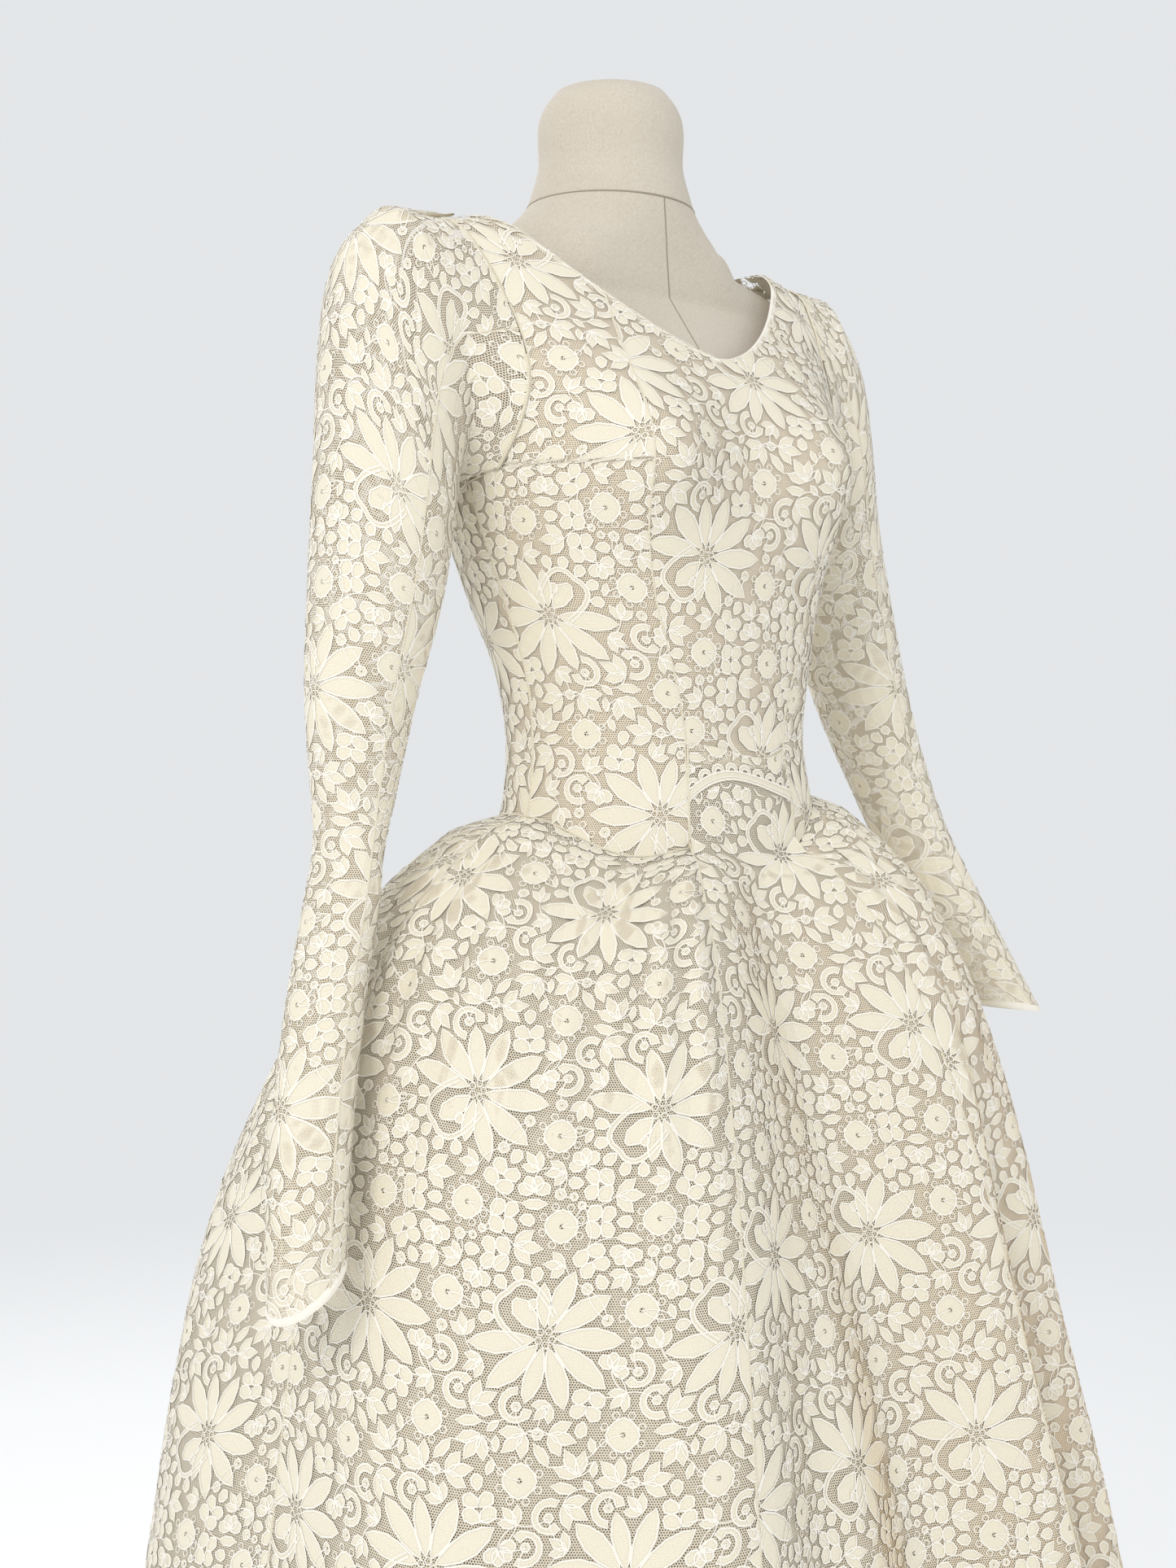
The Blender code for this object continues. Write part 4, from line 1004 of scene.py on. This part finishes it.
def metal_material():
    """Satin grey paint on steel, slightly uneven."""
    material, tree, shader = start_material("stand_paint", METAL_COLOURS[1], 0.38, metallic=0.6)
    coordinates = tree.nodes.new("ShaderNodeTexCoord")
    grain = noise(tree, coordinates.outputs["Object"], 180.0, 5.0)
    link(tree, ramp_colour(tree, grain, METAL_COLOURS), shader.inputs["Base Color"])
    roughness = math_node(tree, "ADD", math_node(tree, "MULTIPLY", grain, 0.2), 0.28)
    link(tree, roughness, shader.inputs["Roughness"])
    add_bump(tree, shader, grain, 0.12, 0.0003)
    return material


def gore_panel(gore, first_drop, rows, columns, inside, gathered):
    """Dense rows of points and normals of one gore."""
    first, last = gore[1:]
    drops = np.linspace(0, 1, rows)[:, None]
    drops = first_drop + (SKIRT_DROP - first_drop) * (0.35 * drops + 0.65 * drops * drops)
    degrees = np.broadcast_to(np.linspace(first, last, columns)[None, :], (rows, columns))
    drops = np.broadcast_to(drops, degrees.shape)

    def surface(a, b):
        return skirt_point(a, b, gore, inside, gathered)

    points = surface(degrees, drops)
    normals = surface_normals(surface, degrees, drops, points * np.array([1.0, 1.0, 0.0]), 0.05, 0.0005)
    return points, normals


def bodice_x(piece, f, z):
    """Distance from the middle at a share across a bodice piece."""
    front, _, kind = piece
    if kind == "middle":
        return f * princess_x(z, front)
    start = math.asin(0.45)
    share = (np.sin(start + f * (math.pi / 2 - start)) - 0.45) / 0.55
    share = share + (f - share) * ease((z - 1.20) / 0.08)
    inner = princess_x(z, front)
    return inner + share * (side_x(z) - inner)


def bodice_surface(piece, f, z):
    """Points and normals of a bodice piece at shares across it and heights."""
    front, sign, _ = piece
    x = bodice_x(piece, np.abs(f), z)
    side = np.where(f < 0, -1, 1) * sign
    points = np.stack([x * side, torso_depth(x, z, front), z + 0 * x], -1)
    step = 1e-4
    here = torso_depth(x, z, front)
    by_x = (torso_depth(np.maximum(x - step, 0), z, front) - here) / step
    by_z = (torso_depth(x, z + step, front) - torso_depth(x, z - step, front)) / (2 * step)
    normals = np.stack([by_x * np.sign(points[..., 0] + 1e-12), np.ones_like(x), -by_z], -1)
    if front:
        normals = -normals
    return points, normals / np.linalg.norm(normals, axis=-1, keepdims=True)


def bodice_lines(piece, f):
    """Lowest and highest height of a bodice piece at shares across it."""
    front, sign, kind = piece
    top = np.full(f.shape, 1.40)
    low = np.full(f.shape, 1.00)
    for _ in range(40):
        top = 0.5 * top + 0.5 * neckline(bodice_x(piece, np.abs(f), top), front)
        x = bodice_x(piece, np.abs(f), low)
        degrees = np.degrees(np.arctan2(x * np.where(f < 0, -1, sign), -torso_depth(x, low, front)))
        low = 0.5 * low + 0.5 * basque_height(degrees)
    if front and kind == "middle":
        low = np.full(f.shape, APRON_HEIGHT)
    return low, top


def bodice_flat(piece, across):
    """Shares across a bodice piece, its flat chart and its limits."""
    front, _, kind = piece
    first = -1.0 if front and kind == "middle" else 0.0
    f = np.linspace(first, 1, across)
    low, top = bodice_lines(piece, f)
    heights = np.linspace(top.max() + 0.001, low.min() - 0.001, 110)
    grid_f, grid_z = np.meshgrid(f, heights)
    points, normals = bodice_surface(piece, grid_f, grid_z)

    def limits(places):
        x = places[:, 0]
        degrees = np.degrees(np.arctan2(x, -places[:, 1]))
        bottom = basque_height(degrees)
        if front and kind == "middle":
            bottom = np.full_like(bottom, APRON_HEIGHT)
        return bottom, neckline(x, front)

    return f, low, top, heights, Panel(points, normals, limits)


def shell_of_bodice(piece, panel, heights, f, low, top, rows, inset):
    """Grid of a bodice piece between its edges, moved in, with its flat coordinates."""
    share = np.linspace(0, 1, rows)[:, None]
    z = top[None, :] + share * (low - top)[None, :]
    grid_f = np.broadcast_to(f[None, :], z.shape)
    points, normals = bodice_surface(piece, grid_f, z)
    row = np.interp(-z, -heights, np.arange(len(heights)))
    i = np.minimum(row.astype(int), len(heights) - 2)
    t = (row - i)[..., None]
    column = np.broadcast_to(np.arange(len(f))[None, :], z.shape)
    uv = panel.flat[i, column] * (1 - t) + panel.flat[i + 1, column] * t
    return points - normals * inset, normals, uv


def border_height(x):
    """Distance down the front gore at which the waist border runs: highest in the middle."""
    return BORDER_TOP + BORDER_FALL * (x / BORDER_HALF) ** 2


def under_border(flat):
    """Which flat points of the front gore lie where its woven border runs."""
    beside = flat[:, 1] - border_height(flat[:, 0])
    return (beside > -0.0098) & (beside < 0.0042)


def lay_border(name, panel):
    """Scalloped border of the lace across the middle panel at the waist, falling to the princess seams."""
    chart = Chart()
    x = np.linspace(-BORDER_HALF, BORDER_HALF, 41)
    path = np.stack([x, border_height(x)], -1)
    tangent = np.gradient(path, axis=0)
    side = np.stack([-tangent[:, 1], tangent[:, 0]], -1) / np.linalg.norm(tangent, axis=1, keepdims=True)
    chart.strip(path - side * BORDER_WIDTH / 2, path + side * BORDER_WIDTH / 2)
    chart.cord(path + side * 0.0008, THIN_CORD)
    reach = np.concatenate([[0], np.cumsum(np.linalg.norm(np.diff(path, axis=0), axis=1))])
    for k in range(BORDER_SCALLOPS):
        at = reach[-1] * (k + 0.5) / BORDER_SCALLOPS
        middle, across = (np.array([np.interp(at, reach, values[:, j]) for j in (0, 1)])
                          for values in (path, side))
        along = np.array([across[1], -across[0]])
        foot = middle - across * (BORDER_WIDTH / 2 + 0.0004)
        half = reach[-1] / BORDER_SCALLOPS * 0.46
        turn = np.linspace(0, math.pi, 9)[:, None]
        arch = foot + along * half * np.cos(turn) - across * 0.0052 * np.sin(turn)
        inner = foot + along * half * 0.5 * np.cos(turn) - across * 0.0026 * np.sin(turn)
        chart.strip(arch, inner)
    flat = np.array(chart.points)
    placed, _ = panel.place(flat + np.array([0, 0, 0.0002]))
    item = new_mesh(name, placed, np.array(chart.faces), flat[:, :2], [FILL, CORD], chart.kinds, smooth=False)
    return item


def make_skirt():
    """Five lace gores over two linings, with their hems and seams."""
    for gore in GORES:
        name = gore[0]
        front = name == "skirt_front"
        columns = 61 if front else 8 * round((gore[2] - gore[1]) / GATHER_DEGREES) + 1
        first_drop = -0.0715 if front else 0.0
        points, normals = gore_panel(gore, first_drop, 70, columns, 0.0, True)
        panel = Panel(points, normals)
        lace = lay_lace(f"motifs_{name}", panel, 0.03, DESIGN, under_border if front else None)
        line = points[-1]
        hem_band = band(f"hem_{name}", line + np.array([0, 0, 0.002]), normals[-1], 0.006, 0.0009,
                        CORD)
        edge = band(f"seam_{name}", points[:, 0], normals[:, 0], 0.0018, 0.0009, SEAM_EDGE)
        if front:
            lay_border("waist_border", panel)
        cloth_sheet(f"net_{name}", points, panel.flat, NET, name)
    linings = (("skirt_lining_front", [("g", 268, 330.5), ("skirt_front", 330.5, 389.5), ("g", 389.5, 454)]),
               ("skirt_lining_back", [("g", 94, 180), ("g", 180, 268)]))
    for name, gores in linings:
        grids = [gore_panel(gore, 0.004, 60, 45, LINING_INSIDE, False)[0] for gore in gores]
        points = np.concatenate([grids[0]] + [grid[:, 1:] for grid in grids[1:]], 1)
        flat = Panel(points, points).flat
        cloth_sheet(f"taffeta_{name}", points, flat, TAFFETA, name)


def make_bodice():
    """Lace bodice over its satin lining, with folded neck edge, seams and waist seams."""
    pieces = [("bodice_front", (True, 1, "middle"), 41)]
    for side, sign in (("left", 1), ("right", -1)):
        pieces.append((f"bodice_side_front_{side}", (True, sign, "side"), 29))
        pieces.append((f"bodice_side_back_{side}", (False, sign, "side"), 25))
        pieces.append((f"bodice_back_{side}", (False, sign, "middle"), 21))
    for name, piece, across in pieces:
        f, low, top, heights, panel = bodice_flat(piece, across)
        points, normals, uv = shell_of_bodice(piece, panel, heights, f, low, top, 60, 0.0)
        lace = lay_lace(f"motifs_{name}", panel, 0.02, DESIGN)
        neck = np.abs(points[0, :, 0]) < STRAP_INNER + 0.001
        if neck.sum() > 2:
            edge_points = points[0][neck] - np.array([0, 0, 0.002])
            band(f"neck_edge_{name}", edge_points, normals[0][neck], 0.006, 0.0012,
                              CORD)
        seams = [0, -1] if piece[2] == "side" else []
        for number, column in enumerate(seams):
            band(f"seam_{number}_{name}", points[:, column], normals[:, column], 0.0018, 0.0009,
                              SEAM_EDGE)
        basque_points = points[-1] + np.array([0, 0, 0.001])
        if name != "bodice_front":
            band(f"waist_seam_{name}", basque_points, normals[-1], 0.0018, 0.0008, SEAM_EDGE)
        lining = name.replace("bodice", "bodice_lining")
        cloth_sheet(f"net_{name}", points, uv, NET, name)
        inner, _, uv = shell_of_bodice(piece, panel, heights, f, low, top, 40, LACE_WALL + LAYER_GAP)
        cloth_sheet(f"satin_{lining}", inner, uv, SATIN, lining)


def make_sleeves():
    """Two sheer sleeves without a lining, each in two pieces, with bands at the wrist and armhole."""
    for side, sign, rows in (("right", -1, NEAR_SLEEVE), ("left", 1, FAR_SLEEVE)):
        for half, start in (("upper", -math.pi / 2), ("under", math.pi / 2)):
            turn = np.linspace(start, start + math.pi, 33)[None, :]
            ring = np.linspace(0, len(rows), 5 * len(rows) + 1)[:, None]
            turn, ring = np.broadcast_arrays(turn, ring)

            def surface(a, b):
                return sleeve_point(a, b, rows, sign)

            points = surface(turn, ring)
            centre = 0.5 * (surface(np.zeros_like(turn), ring) + surface(np.full_like(turn, math.pi), ring))
            normals = surface_normals(surface, turn, ring, points - centre, 1e-3, 1e-3)
            panel = Panel(points, normals)
            name = f"sleeve_{half}_{side}"
            extra = [
                lay_lace(f"motifs_{name}", panel, 0.0, DESIGN),
                band(f"wrist_{name}", points[-1], normals[-1], 0.0055, 0.0009, CORD),
                band(f"armhole_{name}", points[0, 2:-2], normals[0, 2:-2], 0.0026, 0.0010,
                     SEAM_EDGE),
                band(f"seam_{name}", points[:, 0], normals[:, 0], 0.0016, 0.0008, SEAM_EDGE),
            ]
            cloth_sheet(f"net_{name}", points, panel.flat, NET, name)


def make_form():
    """Padded torso and neck of the form, in linen, with their seams."""
    sides = 96
    turn = np.arange(sides) * 2 * math.pi / sides
    inset = LACE_WALL + LAYER_GAP + LINING_WALL + FORM_CLEARANCE
    heights = np.concatenate([np.linspace(FORM_BOTTOM, 1.37, 50), np.linspace(1.376, 1.437, 16)])
    rings = []
    for z in heights:
        level = np.full(sides, z)
        points = form_surface(turn, level)
        outward = points - np.array([0, points[:, 1].mean(), z - (0.05 if z > 1.38 else 0)])
        normals = surface_normals(form_surface, turn, level, outward, 1e-3, 1e-4)
        shoulder = ease((z - 1.26) / 0.12) * (FORM_SHOULDER_CLEARANCE - FORM_CLEARANCE)
        points = points - normals * (inset + shoulder)
        if z < 1.0:
            points[:, 2] = z
        points[:, 0] = np.clip(points[:, 0], -FORM_ARM_PLATE, FORM_ARM_PLATE)
        rings.append(points)
    ridge = TORSO[-1][4]
    start = int(np.argmax(heights > CHEST_TOP))
    chest = np.abs(rings[start - 1][:, 1] - ridge)
    for z, ring in zip(heights[start:], rings[start:]):
        share = (z - CHEST_TOP) / (NECK[0][0] - CHEST_TOP)
        depth = chest * (1 - share) + NECK[0][2] * np.abs(np.cos(turn)) * share
        middle = ease((0.11 - np.abs(ring[:, 0])) / 0.05)
        grown = np.maximum(np.abs(ring[:, 1] - ridge), depth)
        side = np.where(np.cos(turn) > 0, -1, 1)
        ring[:, 1] = ring[:, 1] * (1 - middle) + (ridge + side * grown) * middle
    neck = np.array(NECK)
    base = np.stack([neck[0, 1] * np.sin(turn), ridge - neck[0, 2] * np.cos(turn),
                     np.full(sides, neck[0, 0])], -1)
    for t in (0.25, 0.5, 0.75):
        eased = t * t * (3 - 2 * t) * 0.5 + t * 0.5
        sag = np.array([0, 0, 0.003 * math.sin(t * math.pi)])
        rings.append(rings[len(heights) - 1] * (1 - t) + base * t - sag * eased)
    rings.append(base)
    points = np.stack(rings)
    floor_ring = points[0].mean(0)
    points = np.concatenate([np.broadcast_to(floor_ring, (1, sides, 3)), points], 0)
    torso = new_mesh("linen_torso", points.reshape(-1, 3), grid_faces(len(points), sides, True),
                     None, [LINEN])
    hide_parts("form_torso")
    levels = np.concatenate([np.linspace(neck[0, 0], neck[2, 0], 22), neck[3:, 0], [neck[-1, 0]]])
    wide = smooth_table(NECK, levels)
    wide[-1] = 0.0
    points = np.stack([
        wide[:, :1] * np.sin(turn)[None, :],
        ridge - wide[:, 1:] * np.cos(turn)[None, :],
        np.broadcast_to(levels[:, None], (len(levels), sides)),
    ], -1)
    head = new_mesh("linen_neck", points.reshape(-1, 3), grid_faces(len(points), sides, True), None, [LINEN])
    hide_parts("form_neck")
    outward = base - np.array([0, ridge, neck[0, 0]])
    outward /= np.linalg.norm(outward, axis=1, keepdims=True)
    band("seam_neck", base + outward * 0.0002, outward, 0.0014, 0.0004, SEAM, 3, closed=True)
    for label, column in (("front", 0), ("back", sides // 2)):
        line = np.stack([ring[column] for ring in rings[26:]])
        tangent = np.gradient(line, axis=0)
        normal = np.cross(tangent, [1.0, 0, 0])
        normal *= np.sign(normal[:, 1:2]) * (-1 if label == "front" else 1)
        normal /= np.linalg.norm(normal, axis=1, keepdims=True)
        band(f"seam_torso_{label}", line, normal, 0.0013, 0.0004, SEAM, 3)


def make_closure():
    """Placket and buttons down the back, and metal for the stand."""
    piece = (False, 1, "middle")
    f = np.linspace(0, 0.26, 6)
    low, top = bodice_lines(piece, f)
    share = np.linspace(0, 1, 60)[:, None]
    z = top[None, :] + share * (low - top)[None, :]
    left, normals = bodice_surface(piece, np.broadcast_to(f[None, :], z.shape), z)
    flip = np.array([-1, 1, 1])
    points = np.concatenate([(left * flip)[:, :0:-1], left], 1)
    normals = np.concatenate([(normals * flip)[:, :0:-1], normals], 1)
    points = points + normals * (LAYER_GAP + LACE_WALL)
    flat = Panel(points, normals).flat
    edges = [band(f"placket_edge_{k}", points[:, column], normals[:, column], 0.002, 0.0008,
                  CORD)
             for k, column in enumerate((0, -1))]
    cloth_sheet("placket_band", points, flat, FILL, "placket")
    for index in range(BUTTON_COUNT):
        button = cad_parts[f"button_{index + 1:02d}"]
        cover = button.modifiers.new("cover", "SUBSURF")
        cover.levels = cover.render_levels = 2
        for slot in button.material_slots:
            slot.material = BUTTON
    for name in ("stand_post", "stand_base"):
        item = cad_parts[name]
        edge = item.modifiers.new("edge", "BEVEL")
        edge.width = 0.0015
        edge.segments = 3
        for slot in item.material_slots:
            slot.material = METAL


def add_light(name, place, aim, size, power, colour):
    """Soft area light."""
    data = bpy.data.lights.new(name, "AREA")
    data.shape = "RECTANGLE"
    data.size = size
    data.size_y = size
    data.energy = power
    data.color = colour
    item = bpy.data.objects.new(name, data)
    item.location = place
    item.rotation_euler = (Vector(aim) - Vector(place)).to_track_quat("-Z", "Y").to_euler()
    bpy.context.scene.collection.objects.link(item)


def make_studio():
    """Camera at the photograph's angle, soft light, pale floor."""
    data = bpy.data.cameras.new("camera")
    data.sensor_width = 36
    data.lens = 48.67
    camera = bpy.data.objects.new("camera", data)
    camera.location = (-1.0355, -1.1546, 1.03)
    camera.rotation_euler = (math.radians(90), 0, math.radians(-40))
    bpy.context.scene.collection.objects.link(camera)
    bpy.context.scene.camera = camera
    world = bpy.data.worlds.new("studio")
    bpy.context.scene.world = world
    world.use_nodes = True
    background = world.node_tree.nodes["Background"]
    background.inputs["Color"].default_value = SKY
    background.inputs["Strength"].default_value = SKY_STRENGTH
    bpy.context.scene.view_settings.view_transform = "Standard"
    add_light("key", (-2.6, -1.2, 2.6), (0, 0, 1.0), 1.3, 40, (1.0, 0.97, 0.93))
    add_light("fill", (1.8, -2.6, 1.6), (0, 0, 1.0), 1.6, 9, (1.0, 0.95, 0.86))
    add_light("rim", (0.6, 2.6, 2.4), (0, 0, 1.1), 1.6, 22, (1.0, 1.0, 1.0))
    mesh = bpy.data.meshes.new("floor")
    reach = 14.0
    mesh.from_pydata([(-reach, -reach, 0), (reach, -reach, 0), (reach, reach, 0), (-reach, reach, 0)], [],
                     [(0, 1, 2, 3)])
    floor = bpy.data.objects.new("floor", mesh)
    bpy.context.scene.collection.objects.link(floor)
    material, tree, shader = start_material("floor_paint", (0.97, 0.97, 0.97), 0.8)
    coordinates = tree.nodes.new("ShaderNodeTexCoord")
    link(tree, ramp_colour(tree, noise(tree, coordinates.outputs["Object"], 2.0),
                           ((0.955, 0.96, 0.965), (0.975, 0.98, 0.985))), shader.inputs["Base Color"])
    away = tree.nodes.new("ShaderNodeVectorMath")
    away.operation = "LENGTH"
    link(tree, coordinates.outputs["Object"], away.inputs[0])
    glow = tree.nodes.new("ShaderNodeEmission")
    glow.inputs["Color"].default_value = SKY
    glow.inputs["Strength"].default_value = SKY_STRENGTH
    blend = tree.nodes.new("ShaderNodeMixShader")
    output = next(node for node in tree.nodes if node.type == "OUTPUT_MATERIAL")
    link(tree, clamped(tree, away.outputs["Value"], 1.0, 0.3), blend.inputs[0])
    link(tree, shader.outputs[0], blend.inputs[1])
    link(tree, glow.outputs[0], blend.inputs[2])
    link(tree, blend.outputs[0], output.inputs["Surface"])
    mesh.materials.append(material)


CHEST_TOP = 1.395
SKY = (0.91, 0.93, 0.95, 1)
SKY_STRENGTH = 0.85
BORDER_TOP = 0.016
BORDER_FALL = 0.026
BORDER_HALF = 0.060
BORDER_WIDTH = 0.0056
BORDER_SCALLOPS = 11
NECK = ((1.4580, 0.065, 0.060), (1.4850, 0.056, 0.054), (1.5370, 0.0485, 0.048), (1.5450, 0.042, 0.042),
        (1.5500, 0.018, 0.018))
FILL = lace_fill_material()
CORD = lace_cord_material()
SEAM_EDGE = seam_material()
NET = net_material("lace_net", NET_PITCH, NET_THREAD)
SATIN = lining_material("satin", SATIN_COLOURS, 0.36, 26.0)
BUTTON = lace_fill_material()
TAFFETA = lining_material("taffeta", TAFFETA_AND_SHADE_COLOURS, 0.5, 18.0)
LINEN = linen_material()
METAL = metal_material()
SEAM = start_material("seam_thread", (0.33, 0.28, 0.22), 0.9)[0]
DESIGN = make_repeat()
make_studio()
make_skirt()
make_bodice()
make_sleeves()
make_form()
make_closure()
